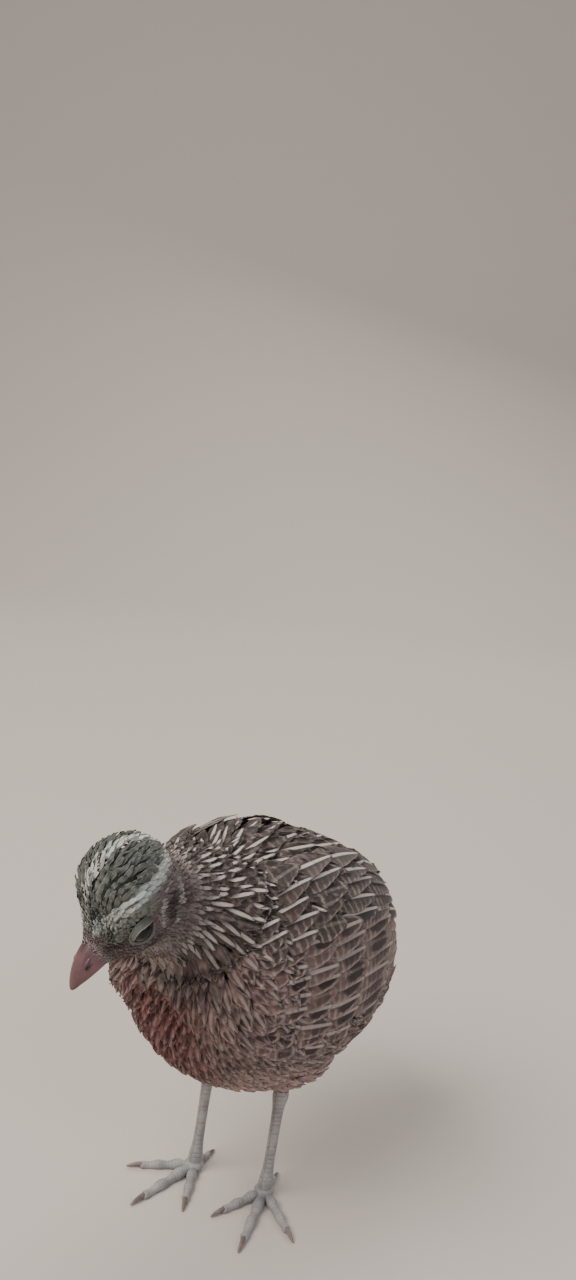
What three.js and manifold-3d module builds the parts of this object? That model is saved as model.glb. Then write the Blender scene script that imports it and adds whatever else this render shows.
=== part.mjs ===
// A young coturnix quail, standing, its head bent down in front of its breast.
// Millimetres, +Z up. The bird faces -Y and its left side is +X. The soles stand on z = 0.
import * as THREE from "three";
import { mergeVertices } from "three/addons/utils/BufferGeometryUtils.js";
import Module from "manifold-3d";

const wasm = await Module();
wasm.setup();

// Driving dimensions
const GAP = 0.3; // left between nodes that touch
const RIGHT = -1;
const LEFT = 1;
const SIDES = [
  { name: "left", sign: LEFT },
  { name: "right", sign: RIGHT },
];

// The trunk from rump to breast: y along the bird, the height of back and belly, and half the width.
const TRUNK_SIDES = 24;
const TRUNK_RINGS = 16;
const TRUNK_STATIONS = [
  { y: 48, top: 63, bottom: 63, half: 0 },
  { y: 45.5, top: 72, bottom: 54, half: 9 },
  { y: 37, top: 84, bottom: 46, half: 17.5 },
  { y: 25, top: 94, bottom: 39.5, half: 24 },
  { y: 10, top: 100.5, bottom: 35.5, half: 27 },
  { y: -5, top: 103, bottom: 35, half: 28 },
  { y: -18, top: 102, bottom: 39, half: 26.2 },
  { y: -28, top: 97, bottom: 46, half: 22.5 },
  { y: -34.5, top: 88, bottom: 56, half: 15 },
  { y: -37, top: 72, bottom: 72, half: 0 },
];

// The head: a point between the eyes, the way it looks, and its sections along that way.
const EYE_LINE = new THREE.Vector3(1.8, -52.5, 94.9);
const HEAD_TURN = THREE.MathUtils.degToRad(-13); // below zero to the bird's right
const HEAD_PITCH = THREE.MathUtils.degToRad(44); // bill down
const HEAD_SIDES = 18;
const HEAD_RINGS = 13;
const HEAD_STATIONS = [
  { y: -16.2, top: 1.8, bottom: 1.8, half: 0 },
  { y: -14.8, top: 7.8, bottom: -4.2, half: 5.4 },
  { y: -10.8, top: 11.6, bottom: -8, half: 8.2 },
  { y: -5.4, top: 12.6, bottom: -10, half: 9.5 },
  { y: 0, top: 11.4, bottom: -9.6, half: 9.1 },
  { y: 4.6, top: 8.4, bottom: -7.6, half: 7.1 },
  { y: 7.6, top: 5.8, bottom: -5.8, half: 5.1 },
  { y: 9.4, top: 3.2, bottom: -4, half: 3.2 },
  { y: 10.2, top: -0.6, bottom: -0.6, half: 0 },
];
const EYE_RADIUS = 3.3;
const EYE_SIDE = 6.5; // from the middle of the head to the eye's centre
const EYE_HEIGHT = 1;
const EYE_SEGMENTS = 12;
// The lids make a ring a little smaller than the eye, standing this far outside its centre.
const LIDS = { width: 0.65, stand: 1.55, inset: 0.3, long: 1.04, high: 0.88, steps: 16, sides: 5 };

// The neck, from deep in the trunk to the back of the head.
const NECK_SIDES = 18;
const NECK_STATIONS = [
  { at: [0, -12, 77], half: 20, rise: 19 },
  { at: [0, -24, 86], half: 18.5, rise: 17 },
  { at: [0.5, -34, 91.5], half: 14.8, rise: 14 },
  { at: [1.4, -42, 95], half: 11.8, rise: 12 },
  { at: [2, -48, 97], half: 9, rise: 9.5 },
];

// The planes that part head, neck and trunk: the second is given in the head's own frame.
const SHOULDER_CUT = { at: [0, -29, 88], way: [0, -0.8, 0.6] };
const NAPE_CUT = { at: [0, -7, -7], way: [0, 0.55, 0.83] };

// The bill, in the head's own frame.
const BILL_BASE = 8.2;
const BILL_TIP = 18.2;
const BILL_HALF = 3.1;
const BILL_RISE = 3.4;
const BILL_DROP = 2.5;
const GAPE_HEIGHT = -1.1;
const CULMEN_HOOK = 2.1; // how far the tip of the culmen curves down
const LOWER_BILL = { width: 0.9, length: 0.9 }; // shares of the upper bill's
const NOSTRIL = { radii: [0.55, 1.25, 0.5], inset: 0.55, ahead: 2.7, rise: 0.5 };
const SOCKET_DEPTH = 8;

// Feathers of wings and tail. Places run from the rump, 0, to the breast, 1; angles go down from the
// middle of the back, in degrees; lifts are above the trunk.
const FEATHER_SEED = 20711;
const VANE_PLACES = [0, 0.45, 0.82, 1];
const VANE_THICK = 0.56;
const VANE_TIP_THICK = 0.34;
const SHAFT_RISE = 0.07; // the vane is thicker by this along its shaft, on each face
const VANE_TILT = 0.62;
const ROUND_TIP = [0.6, 1, 0.85, 0.26];
const LONG_TIP = [0.6, 0.98, 0.86, 0.2];
const ROOT_LIFT = 0.85; // the roots lie inside the plate of the arm
const WING_NARROWEST = 9;
const ARM_PLATE = { front: 0.79, rear: 0.42, upper: 27, lower: 112, under: 0.3, over: 1.25 };
const WING_TIERS = [
  { // primaries
    count: 4, half: 3.4, lift: 1.35, widths: LONG_TIP,
    root: { place: 0.45, upper: 84, lower: 108 },
    tip: { place: 0.09, lastPlace: 0.22, upper: 74, lower: 106 },
  },
  { // secondaries and tertials
    count: 5, half: 4.3, lift: 2.6, widths: LONG_TIP,
    root: { place: 0.47, upper: 52, lower: 92 },
    tip: { place: 0.12, lastPlace: 0.19, upper: 52, lower: 92 },
  },
  { // greater coverts
    count: 5, half: 4.4, lift: 2.8, widths: ROUND_TIP,
    root: { place: 0.57, upper: 62, lower: 109 },
    tip: { place: 0.36, lastPlace: 0.4, upper: 60, lower: 108 },
  },
  { // median coverts
    count: 5, half: 4, lift: 2.7, widths: ROUND_TIP,
    root: { place: 0.67, upper: 66, lower: 108 },
    tip: { place: 0.5, lastPlace: 0.53, upper: 65, lower: 108 },
  },
  { // lesser coverts
    count: 4, half: 4.2, lift: 2.5, widths: ROUND_TIP,
    root: { place: 0.765, upper: 66, lower: 105 },
    tip: { place: 0.625, lastPlace: 0.645, upper: 66, lower: 106 },
  },
  { // long scapulars
    count: 3, half: 4.3, lift: 3.3, widths: ROUND_TIP,
    root: { place: 0.48, upper: 33, lower: 55 },
    tip: { place: 0.25, lastPlace: 0.28, upper: 34, lower: 58 },
  },
  { // middle scapulars
    count: 3, half: 4.4, lift: 3.4, widths: ROUND_TIP,
    root: { place: 0.6, upper: 32, lower: 54 },
    tip: { place: 0.4, lastPlace: 0.43, upper: 32, lower: 56 },
  },
  { // front scapulars
    count: 3, half: 4.2, lift: 3.2, widths: ROUND_TIP,
    root: { place: 0.71, upper: 33, lower: 55 },
    tip: { place: 0.545, lastPlace: 0.56, upper: 32, lower: 56 },
  },
];

const TAIL_ROOT = [0, 40, 66.5]; // inside the rump
const TAIL_DROP = 40; // degrees below level
const TAIL_STUMP = { length: 13, half: 6.4, rise: 2.7 };
const TAIL_TILT = 0.35;
const TAIL_TIERS = [
  { count: 10, spread: 17, length: 30, half: 2.7, rootLift: 0, lift: 0, sag: 2.6, widths: LONG_TIP },
  { count: 4, spread: 15, length: 21, half: 2.9, rootLift: 0.9, lift: 1.8, sag: 1.6, widths: ROUND_TIP },
  { count: 3, spread: 10, length: 16, half: 3, rootLift: 1.6, lift: 3.2, sag: 1, widths: ROUND_TIP },
  { count: 4, spread: 13, length: 19, half: 2.9, rootLift: -1.2, lift: -3, sag: 0.2, widths: ROUND_TIP },
];

// The legs
const LEG_SIDE = 10;
const FOOT_Y = { left: 3.5, right: -2.5 };
const ANKLE_BACK = 1.5; // the ankle stands this far behind the foot
const ANKLE_HEIGHT = 30;
const FOOT_TOP = 2.9; // where the shank stands on the pad of the foot
const FOOT_TURN = { left: 22, right: 4 }; // degrees, outwards
// The feathered thigh, from inside the belly to the ankle, and the shank under it: how far outside
// and behind the foot each section lies, its height and its radius.
const THIGH_STATIONS = [
  { out: 3, back: -3.5, z: 50, radius: 9 },
  { out: 2.5, back: -2, z: 42, radius: 8 },
  { out: 1.2, back: -0.3, z: 36, radius: 5.4 },
  { out: 0, back: 1.1, z: ANKLE_HEIGHT - 1, radius: 2.4 },
];
const SHANK_STATIONS = [
  { out: 0, back: ANKLE_BACK, z: ANKLE_HEIGHT + 1, radius: 1.7 },
  { out: 0, back: ANKLE_BACK, z: ANKLE_HEIGHT - 1.5, radius: 2.15 },
  { out: 0, back: ANKLE_BACK * 0.8, z: ANKLE_HEIGHT - 6, radius: 1.55 },
  { out: 0, back: ANKLE_BACK * 0.3, z: 10, radius: 1.46 },
  { out: 0, back: 0, z: 4, radius: 1.9 },
  { out: 0, back: 0, z: FOOT_TOP - 1, radius: 1.6 },
];
const FOOT_PAD = { radius: 3, height: 0.85, rise: 1.2 };
const TOE_RADIUS = 1.45;
const TOE_START = 2.6; // from the middle of the foot
const TOE_TAPER = 0.32;
const TOE_PADS = 3;
const PAD_BULGE = 0.12;
const TOES = [
  { name: "hallux", angle: 172, length: 6.5, claw: 2.6, radius: 0.8 },
  { name: "inner", angle: -36, length: 14, claw: 3.4, radius: 0.95 },
  { name: "middle", angle: 0, length: 19, claw: 3.8, radius: 1 },
  { name: "outer", angle: 40, length: 15, claw: 3.4, radius: 0.95 },
];

const COLOURS = {
  plumage: { color: 0x5f564f, roughness: 0.9 },
  wing: { color: 0x54493f, roughness: 0.85 },
  bill: { color: 0x6f5450, roughness: 0.45 },
  eye: { color: 0x120c0a, roughness: 0.08 },
  leg: { color: 0xa8a39b, roughness: 0.6 },
  claw: { color: 0x4c443e, roughness: 0.4 },
};

// Plain solids

// A closed solid from a geometry, turned so that its faces point out.
function solidOf(geometry) {
  const plain = new THREE.BufferGeometry();
  plain.setAttribute("position", geometry.getAttribute("position"));
  if (geometry.index) plain.setIndex(geometry.index);
  const merged = mergeVertices(plain, 1e-4);
  const triVerts = new Uint32Array(merged.index.array);
  const vertProperties = merged.attributes.position.array;
  const solid = new wasm.Manifold(new wasm.Mesh({ numProp: 3, vertProperties, triVerts }));
  if (solid.volume() >= 0) return solid;
  for (let i = 0; i < triVerts.length; i += 3) {
    [triVerts[i + 1], triVerts[i + 2]] = [triVerts[i + 2], triVerts[i + 1]];
  }
  return new wasm.Manifold(new wasm.Mesh({ numProp: 3, vertProperties, triVerts }));
}

// A skin through rings of points, closed by a point or a flat fan at each end.
function skinThrough(rings, startPole, endPole) {
  const sides = rings[0].length;
  const points = [startPole, ...rings.flat(), endPole];
  const positions = points.flatMap((p) => [p.x, p.y, p.z]);
  const last = points.length - 1;
  const index = [];
  for (let side = 0; side < sides; side += 1) {
    const next = (side + 1) % sides;
    index.push(0, 1 + side, 1 + next);
    for (let ring = 0; ring < rings.length - 1; ring += 1) {
      const here = 1 + ring * sides;
      const ahead = here + sides;
      index.push(here + side, ahead + side, ahead + next, here + side, ahead + next, here + next);
    }
    const end = 1 + (rings.length - 1) * sides;
    index.push(end + side, last, end + next);
  }
  const geometry = new THREE.BufferGeometry();
  geometry.setAttribute("position", new THREE.Float32BufferAttribute(positions, 3));
  geometry.setIndex(index);
  return solidOf(geometry);
}

function join(solids) {
  return solids.reduce((whole, piece) => whole.add(piece));
}

// The largest closed surface of a solid, filled where fusing sealed a hollow.
function largest(solid) {
  return solid.decompose().reduce((a, b) => (a.volume() > b.volume() ? a : b));
}

// Smooth values between stations: every field of the stations at a place from 0 to 1.
function stationAt(stations, place) {
  const scaled = THREE.MathUtils.clamp(place, 0, 1) * (stations.length - 1);
  const low = Math.min(Math.floor(scaled), stations.length - 2);
  const t = scaled - low;
  const pick = (i) => stations[THREE.MathUtils.clamp(i, 0, stations.length - 1)];
  const value = (key) => {
    const [p0, p1, p2, p3] = [low - 1, low, low + 1, low + 2].map((i) => pick(i)[key]);
    const slopeIn = (p2 - p0) / 2;
    const slopeOut = (p3 - p1) / 2;
    const t2 = t * t;
    const t3 = t2 * t;
    return (
      (2 * t3 - 3 * t2 + 1) * p1 + (t3 - 2 * t2 + t) * slopeIn +
      (3 * t2 - 2 * t3) * p2 + (t3 - t2) * slopeOut
    );
  };
  return Object.fromEntries(Object.keys(stations[0]).map((key) => [key, value(key)]));
}

// A point of a body of stations: place runs 0 to 1 along it, angle runs round from the top to +X.
function stationPoint(stations, place, angle, swell = 0) {
  const { y, top, bottom, half } = stationAt(stations, place);
  const middle = (top + bottom) / 2;
  const rise = (top - bottom) / 2 + swell;
  return new THREE.Vector3((half + swell) * Math.sin(angle), y, middle + rise * Math.cos(angle));
}

// The solid of a body of stations. Swell makes it larger all round, for cutting clearances.
function stationSolid(stations, ringCount, sides, swell = 0) {
  const rings = [];
  for (let ring = 1; ring < ringCount; ring += 1) {
    const place = ring / ringCount;
    const points = [];
    for (let side = 0; side < sides; side += 1) {
      points.push(stationPoint(stations, place, (side / sides) * 2 * Math.PI, swell));
    }
    rings.push(points);
  }
  const first = stations[0];
  const last = stations[stations.length - 1];
  const outwards = Math.sign(first.y - last.y) * swell;
  const start = new THREE.Vector3(0, first.y + outwards, first.top);
  const end = new THREE.Vector3(0, last.y - outwards, last.top);
  return skinThrough(rings, start, end);
}

// A round tube through points with a radius at each, and points at its ends.
function tube(points, radii, sides, flatten = 1) {
  const rings = points.map((point, i) => {
    const before = points[Math.max(i - 1, 0)];
    const after = points[Math.min(i + 1, points.length - 1)];
    const along = after.clone().sub(before).normalize();
    const reference = Math.abs(along.z) > 0.8 ? new THREE.Vector3(0, 1, 0) : new THREE.Vector3(0, 0, 1);
    const across = new THREE.Vector3().crossVectors(along, reference).normalize();
    const up = new THREE.Vector3().crossVectors(across, along);
    return Array.from({ length: sides }, (_, side) => {
      const angle = (side / sides) * 2 * Math.PI;
      return point
        .clone()
        .addScaledVector(across, radii[i] * Math.cos(angle))
        .addScaledVector(up, radii[i] * flatten * Math.sin(angle));
    });
  });
  return skinThrough(rings, points[0], points[points.length - 1]);
}

// The trunk, neck and head, modelled whole and parted by thin cuts

const HEAD_FRAME = new THREE.Matrix4()
  .makeTranslation(EYE_LINE)
  .multiply(new THREE.Matrix4().makeRotationZ(Math.PI + HEAD_TURN))
  .multiply(new THREE.Matrix4().makeRotationX(-HEAD_PITCH));

// A solid or point given in the head's frame (+Y to the bill, +Z to the crown), put in place.
function onHead(solid) {
  return solid.transform(HEAD_FRAME.toArray());
}

function headPoint(x, y, z) {
  return new THREE.Vector3(x, y, z).applyMatrix4(HEAD_FRAME);
}

const trunkAlone = stationSolid(TRUNK_STATIONS, TRUNK_RINGS, TRUNK_SIDES);
const trunkCutter = stationSolid(TRUNK_STATIONS, TRUNK_RINGS, TRUNK_SIDES, GAP);
const headAlone = onHead(stationSolid(HEAD_STATIONS, HEAD_RINGS, HEAD_SIDES));

function neckAlone(swell = 0) {
  const steps = 7;
  const curve = new THREE.CatmullRomCurve3(NECK_STATIONS.map((s) => new THREE.Vector3(...s.at)));
  const points = [];
  const rings = [];
  for (let step = 0; step <= steps; step += 1) {
    const place = step / steps;
    const { half, rise } = stationAt(NECK_STATIONS.map(({ half, rise }) => ({ half, rise })), place);
    const point = curve.getPoint(place);
    const along = curve.getTangent(place);
    const across = new THREE.Vector3().crossVectors(along, new THREE.Vector3(0, 0, 1)).normalize();
    const up = new THREE.Vector3().crossVectors(across, along);
    points.push(point);
    rings.push(
      Array.from({ length: NECK_SIDES }, (_, side) => {
        const angle = (side / NECK_SIDES) * 2 * Math.PI;
        return point
          .clone()
          .addScaledVector(across, (half + swell) * Math.sin(angle))
          .addScaledVector(up, (rise + swell) * Math.cos(angle));
      }),
    );
  }
  return skinThrough(rings, points[0], points[steps]);
}

// What wings, thighs and tail are cut clear of.
const bodyCutter = join([trunkCutter, neckAlone(GAP)]);

// Two planes part the whole: behind the first is the trunk, between them the neck, past them the head.
function partedBody() {
  const whole = join([trunkAlone, neckAlone(), headAlone]);
  const shoulder = new THREE.Vector3(...SHOULDER_CUT.at);
  const shoulderWay = new THREE.Vector3(...SHOULDER_CUT.way).normalize();
  const nape = headPoint(...NAPE_CUT.at);
  const napeWay = new THREE.Vector3(...NAPE_CUT.way).transformDirection(HEAD_FRAME);
  const cut = (solid, way, at, keep) => {
    const offset = way.dot(at) + (keep > 0 ? GAP / 2 : -GAP / 2);
    return solid.trimByPlane([keep * way.x, keep * way.y, keep * way.z], keep * offset);
  };
  return {
    torso: cut(whole, shoulderWay, shoulder, -1),
    neck: cut(cut(whole, shoulderWay, shoulder, 1), napeWay, nape, -1),
    head: cut(cut(whole, shoulderWay, shoulder, 1), napeWay, nape, 1),
  };
}

// Eyes and lids

function eyeCentre(sign) {
  return new THREE.Vector3(-sign * EYE_SIDE, 0, EYE_HEIGHT);
}

function eyeball(centre, radius, segments) {
  const sphere = new THREE.SphereGeometry(radius, segments, Math.round(segments * 0.6));
  return onHead(solidOf(sphere.translate(centre.x, centre.y, centre.z)));
}

// A ring of lid round the eye, almond-shaped, standing out of the head.
function lid(sign) {
  const { width, stand, inset, long, high, steps, sides } = LIDS;
  const positions = [];
  const index = [];
  for (let step = 0; step < steps; step += 1) {
    const turn = (step / steps) * 2 * Math.PI;
    for (let side = 0; side < sides; side += 1) {
      const angle = (side / sides) * 2 * Math.PI;
      const reach = EYE_RADIUS - inset + width * Math.cos(angle);
      const x = -sign * (EYE_SIDE + stand + width * Math.sin(angle));
      positions.push(x, long * reach * Math.cos(turn), EYE_HEIGHT + high * reach * Math.sin(turn));
      const here = step * sides + side;
      const beside = step * sides + ((side + 1) % sides);
      const ahead = ((step + 1) % steps) * sides;
      index.push(here, ahead + side, ahead + ((side + 1) % sides));
      index.push(here, ahead + ((side + 1) % sides), beside);
    }
  }
  const geometry = new THREE.BufferGeometry();
  geometry.setAttribute("position", new THREE.Float32BufferAttribute(positions, 3));
  geometry.setIndex(index);
  return onHead(solidOf(geometry));
}

// The bill

// One half of the bill: rings from its root to its tip between two height formulas.
function billHalf(halfAt, topAt, bottomAt, tipLength) {
  const rings = [];
  const ringCount = 8;
  const sides = 12;
  for (let ring = 0; ring < ringCount; ring += 1) {
    const place = ring / ringCount;
    const y = THREE.MathUtils.lerp(BILL_BASE, BILL_BASE + tipLength, place);
    const middle = (topAt(place) + bottomAt(place)) / 2;
    const rise = (topAt(place) - bottomAt(place)) / 2;
    rings.push(
      Array.from({ length: sides }, (_, side) => {
        const angle = (side / sides) * 2 * Math.PI;
        return new THREE.Vector3(halfAt(place) * Math.sin(angle), y, middle + rise * Math.cos(angle));
      }),
    );
  }
  const start = new THREE.Vector3(0, BILL_BASE, (topAt(0) + bottomAt(0)) / 2);
  const end = new THREE.Vector3(0, BILL_BASE + tipLength, (topAt(1) + bottomAt(1)) / 2);
  return onHead(skinThrough(rings, start, end));
}

const billTaper = (place) => BILL_HALF * Math.sqrt(1 - place ** 1.7);
const gapeAt = (place) => GAPE_HEIGHT - CULMEN_HOOK * 0.55 * place ** 2;

function upperBill() {
  const top = (place) => BILL_RISE - 1.1 * place - (CULMEN_HOOK + 2.1) * place ** 2.4;
  const half = billHalf(billTaper, top, (place) => gapeAt(place) + GAP / 2, BILL_TIP - BILL_BASE);
  return half.subtract(nostril(LEFT)).subtract(nostril(RIGHT));
}

function lowerBill() {
  const bottom = (place) => gapeAt(place) - GAP / 2 - BILL_DROP * (1 - place ** 1.6);
  const half = (place) => billTaper(place) * LOWER_BILL.width;
  const length = (BILL_TIP - BILL_BASE) * LOWER_BILL.length;
  return billHalf(half, (place) => gapeAt(place) - GAP / 2, bottom, length);
}

// A nostril: a slit of a pit in the side of the upper bill, under its soft cover.
function nostril(sign) {
  const pit = new THREE.SphereGeometry(1, 10, 6);
  pit.scale(...NOSTRIL.radii);
  const x = -sign * (BILL_HALF - NOSTRIL.inset);
  return onHead(solidOf(pit.translate(x, BILL_BASE + NOSTRIL.ahead, BILL_RISE * NOSTRIL.rise)));
}

// A stopper a little larger than the root of the bill, which the head is cut with.
function billSocket() {
  const top = BILL_RISE + GAP;
  const bottom = GAPE_HEIGHT - BILL_DROP - GAP;
  const stopper = new THREE.CylinderGeometry(1, 1, SOCKET_DEPTH, 18);
  stopper.scale(BILL_HALF + 2 * GAP, 1, (top - bottom) / 2 + GAP);
  return onHead(solidOf(stopper.translate(0, BILL_BASE - GAP + SOCKET_DEPTH / 2, (top + bottom) / 2)));
}

// Feathers: thin vanes, rooted in a plate or stump and lying over one another in tiers

// Seeded draws between -1 and 1, so that no two feathers are quite alike.
const draws = { state: FEATHER_SEED };
function draw() {
  draws.state = (draws.state * 16807) % 2147483647;
  return (draws.state / 2147483647) * 2 - 1;
}

// A closed slab between two grids of points, split into triangles alike on both faces.
function slabThrough(top, under) {
  const row = top[0].length;
  const count = top.length * row;
  const index = [];
  for (let i = 0; i < top.length - 1; i += 1) {
    for (let j = 0; j < row - 1; j += 1) {
      const a = i * row + j;
      const across = a + row + 1;
      index.push(a, a + row, across, a, across, a + 1);
      index.push(count + a, count + across, count + a + row, count + a, count + a + 1, count + across);
    }
  }
  const rim = [];
  for (let i = 0; i < top.length - 1; i += 1) rim.push(i * row);
  for (let j = 0; j < row - 1; j += 1) rim.push(count - row + j);
  for (let i = top.length - 1; i > 0; i -= 1) rim.push(i * row + row - 1);
  for (let j = row - 1; j > 0; j -= 1) rim.push(j);
  rim.forEach((p, i) => {
    const q = rim[(i + 1) % rim.length];
    index.push(q, p, count + p, q, count + p, count + q);
  });
  const positions = [...top.flat(), ...under.flat()].flatMap((p) => [p.x, p.y, p.z]);
  const geometry = new THREE.BufferGeometry();
  geometry.setAttribute("position", new THREE.Float32BufferAttribute(positions, 3));
  geometry.setIndex(index);
  return solidOf(geometry);
}

// A vane from root to tip. The function at(along, aside, height) gives a point from a share of the
// length and two sizes in millimetres; the side that overlaps the next feather is lifted by the tilt.
function vane(at, half, tilt, widths) {
  const top = [];
  const under = [];
  VANE_PLACES.forEach((along, i) => {
    const wide = half * widths[i];
    const lift = tilt * Math.min(1, 0.25 + 1.6 * along);
    const thick = THREE.MathUtils.lerp(VANE_THICK, VANE_TIP_THICK, along ** 2);
    const rowAt = (side) => [-1, 0, 1].map((across) => {
      const shaft = across === 0 ? SHAFT_RISE : 0;
      return at(along, across * wide, lift * across * widths[i] + side * (thick / 2 + shaft));
    });
    top.push(rowAt(1));
    under.push(rowAt(-1));
  });
  return slabThrough(top, under);
}

// Where a feather of the folded wing lies: over the side of the trunk, at a lift above it.
function wingPoint(sign, place, angle, aside, lift) {
  const { half } = stationAt(TRUNK_STATIONS, place);
  const turned = THREE.MathUtils.degToRad(angle) + aside / Math.max(half, WING_NARROWEST);
  return stationPoint(TRUNK_STATIONS, place, sign * turned, lift);
}

// The plate of the folded arm, which every feather of the wing is rooted in.
function armPlate(sign) {
  const { front, rear, upper, lower, under, over } = ARM_PLATE;
  const along = 6;
  const round = 4;
  const gridAt = (lift) =>
    Array.from({ length: along + 1 }, (_, i) =>
      Array.from({ length: round + 1 }, (__, j) => {
        const angle = THREE.MathUtils.lerp(upper, lower, j / round);
        return wingPoint(sign, THREE.MathUtils.lerp(front, rear, i / along), angle, 0, lift);
      }),
    );
  return slabThrough(gridAt(over), gridAt(under));
}

function wing(sign) {
  const pieces = [armPlate(sign)];
  for (const tier of WING_TIERS) {
    const { count, root, tip, half, lift, widths } = tier;
    for (let i = 0; i < count; i += 1) {
      const share = count === 1 ? 0 : i / (count - 1);
      const rootPlace = root.place + 0.006 * draw();
      const tipPlace = THREE.MathUtils.lerp(tip.place, tip.lastPlace, share) + 0.012 * draw();
      const rootAngle = THREE.MathUtils.lerp(root.upper, root.lower, share) + 0.8 * draw();
      const tipAngle = THREE.MathUtils.lerp(tip.upper, tip.lower, share) + 1.2 * draw();
      const tipLift = lift + 0.08 * draw();
      const at = (along, aside, height) => {
        const place = THREE.MathUtils.lerp(rootPlace, tipPlace, along);
        const angle = THREE.MathUtils.lerp(rootAngle, tipAngle, along);
        return wingPoint(sign, place, angle, aside, THREE.MathUtils.lerp(ROOT_LIFT, tipLift, along) + height);
      };
      pieces.push(vane(at, half, VANE_TILT, widths));
    }
  }
  return largest(join(pieces).subtract(bodyCutter));
}

// The tail: tail feathers in a fan, the middle pair on top, with coverts over and under their roots.
function tail() {
  const root = new THREE.Vector3(...TAIL_ROOT);
  const drop = THREE.MathUtils.degToRad(TAIL_DROP);
  const back = new THREE.Vector3(0, Math.cos(drop), -Math.sin(drop));
  const up = new THREE.Vector3(0, Math.sin(drop), Math.cos(drop));
  const stumpPlaces = [0, 0.4, 0.75, 1];
  const stumpRings = stumpPlaces.map((place) =>
    Array.from({ length: 12 }, (_, i) => {
      const turn = (i / 12) * 2 * Math.PI;
      const shrink = Math.sqrt(1 - 0.75 * place ** 2);
      const point = root.clone().addScaledVector(back, TAIL_STUMP.length * place);
      point.x += TAIL_STUMP.half * shrink * Math.cos(turn);
      return point.addScaledVector(up, TAIL_STUMP.rise * shrink * Math.sin(turn));
    }),
  );
  const stumpEnd = root.clone().addScaledVector(back, TAIL_STUMP.length);
  const pieces = [skinThrough(stumpRings, root, stumpEnd)];
  for (const { count, spread, length, half, rootLift, lift, sag, widths } of TAIL_TIERS) {
    for (let i = 0; i < count; i += 1) {
      const share = count === 1 ? 0 : (i / (count - 1)) * 2 - 1;
      const fan = THREE.MathUtils.degToRad(spread * share + 0.8 * draw());
      const reach = length * (1 - 0.06 * share ** 2) + 0.5 * draw();
      const drift = Math.abs(share) * sag;
      const tilt = -Math.sign(share) * TAIL_TILT;
      const at = (along, aside, height) => {
        const point = root.clone().addScaledVector(back, reach * along * Math.cos(fan));
        point.x += reach * along * Math.sin(fan) + aside;
        const level = THREE.MathUtils.lerp(rootLift, lift, along) - drift * (0.3 + 0.7 * along);
        return point.addScaledVector(up, level + height);
      };
      pieces.push(vane(at, half, tilt, widths));
    }
  }
  return largest(join(pieces).subtract(bodyCutter));
}

// Legs and feet

function legTube(side, stations, sides) {
  const points = stations.map(({ out, back, z }) =>
    new THREE.Vector3(side.sign * (LEG_SIDE + out), FOOT_Y[side.name] + back, z));
  return tube(points, stations.map((station) => station.radius), sides);
}

function thigh(side) {
  return legTube(side, THIGH_STATIONS, 14).subtract(bodyCutter).trimByPlane([0, 0, 1], ANKLE_HEIGHT + GAP);
}

function shank(side) {
  return legTube(side, SHANK_STATIONS, 10)
    .trimByPlane([0, 0, -1], -ANKLE_HEIGHT)
    .trimByPlane([0, 0, 1], FOOT_TOP);
}

// A toe lies flat on the floor; its pads bulge between the joints.
function toe(side, form) {
  const steps = 9;
  const turn = THREE.MathUtils.degToRad(-90 + side.sign * (FOOT_TURN[side.name] + form.angle));
  const way = new THREE.Vector3(Math.cos(turn), Math.sin(turn), 0);
  const foot = new THREE.Vector3(side.sign * LEG_SIDE, FOOT_Y[side.name], 0);
  const across = new THREE.Vector3(-way.y, way.x, 0);
  const rings = [];
  const centres = [];
  for (let step = 0; step <= steps; step += 1) {
    const place = step / steps;
    const pad = 1 + PAD_BULGE * Math.cos(place * TOE_PADS * 2 * Math.PI);
    const radius = TOE_RADIUS * form.radius * (1 - TOE_TAPER * place) * pad;
    const centre = foot.clone().addScaledVector(way, TOE_START + place * form.length);
    centre.z = radius * 0.78;
    centres.push(centre);
    rings.push(
      Array.from({ length: 8 }, (_, i) => {
        const angle = ((i + 0.5) / 8) * 2 * Math.PI;
        const point = centre.clone().addScaledVector(across, radius * Math.cos(angle));
        point.z = Math.max(0, centre.z + radius * Math.sin(angle));
        return point;
      }),
    );
  }
  let solid = skinThrough(rings, centres[0], centres[steps]);
  for (const other of TOES.filter((o) => o !== form && Math.abs(o.angle - form.angle) < 60)) {
    const between = turn + THREE.MathUtils.degToRad((side.sign * (other.angle - form.angle)) / 2);
    const normal = new THREE.Vector3(-Math.sin(between), Math.cos(between), 0);
    normal.multiplyScalar(Math.sign(normal.dot(way)));
    solid = solid.trimByPlane([normal.x, normal.y, 0], normal.dot(foot) + GAP / 2);
  }
  return { solid, way, tip: centres[steps] };
}

function claw(form, toeMade) {
  const steps = 4;
  const radius = TOE_RADIUS * form.radius * 0.5;
  const points = [];
  const radii = [];
  for (let step = 0; step <= steps; step += 1) {
    const place = step / steps;
    const point = toeMade.tip.clone().addScaledVector(toeMade.way, GAP + form.claw * place);
    point.z = radius * 1.35 * Math.cos(place * 1.2) + 0.12;
    points.push(point);
    radii.push(radius * (1 - 0.85 * place));
  }
  return tube(points, radii, 6);
}

// The pad under the foot, where shank and toes meet.
function footPad(side, toes) {
  const { radius, height, rise } = FOOT_PAD;
  const foot = new THREE.Vector3(side.sign * LEG_SIDE, FOOT_Y[side.name], 0);
  const sphere = new THREE.SphereGeometry(radius, 14, 9).scale(1, 1, height);
  const ball = solidOf(sphere.translate(foot.x, foot.y, rise));
  const solid = ball.trimByPlane([0, 0, 1], 0).trimByPlane([0, 0, -1], -(FOOT_TOP - GAP));
  return toes.reduce((pad, { way }) =>
    pad.trimByPlane([-way.x, -way.y, 0], -(way.dot(foot) + TOE_START - GAP)), solid);
}

// The scene

const bird = new THREE.Group();

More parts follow.
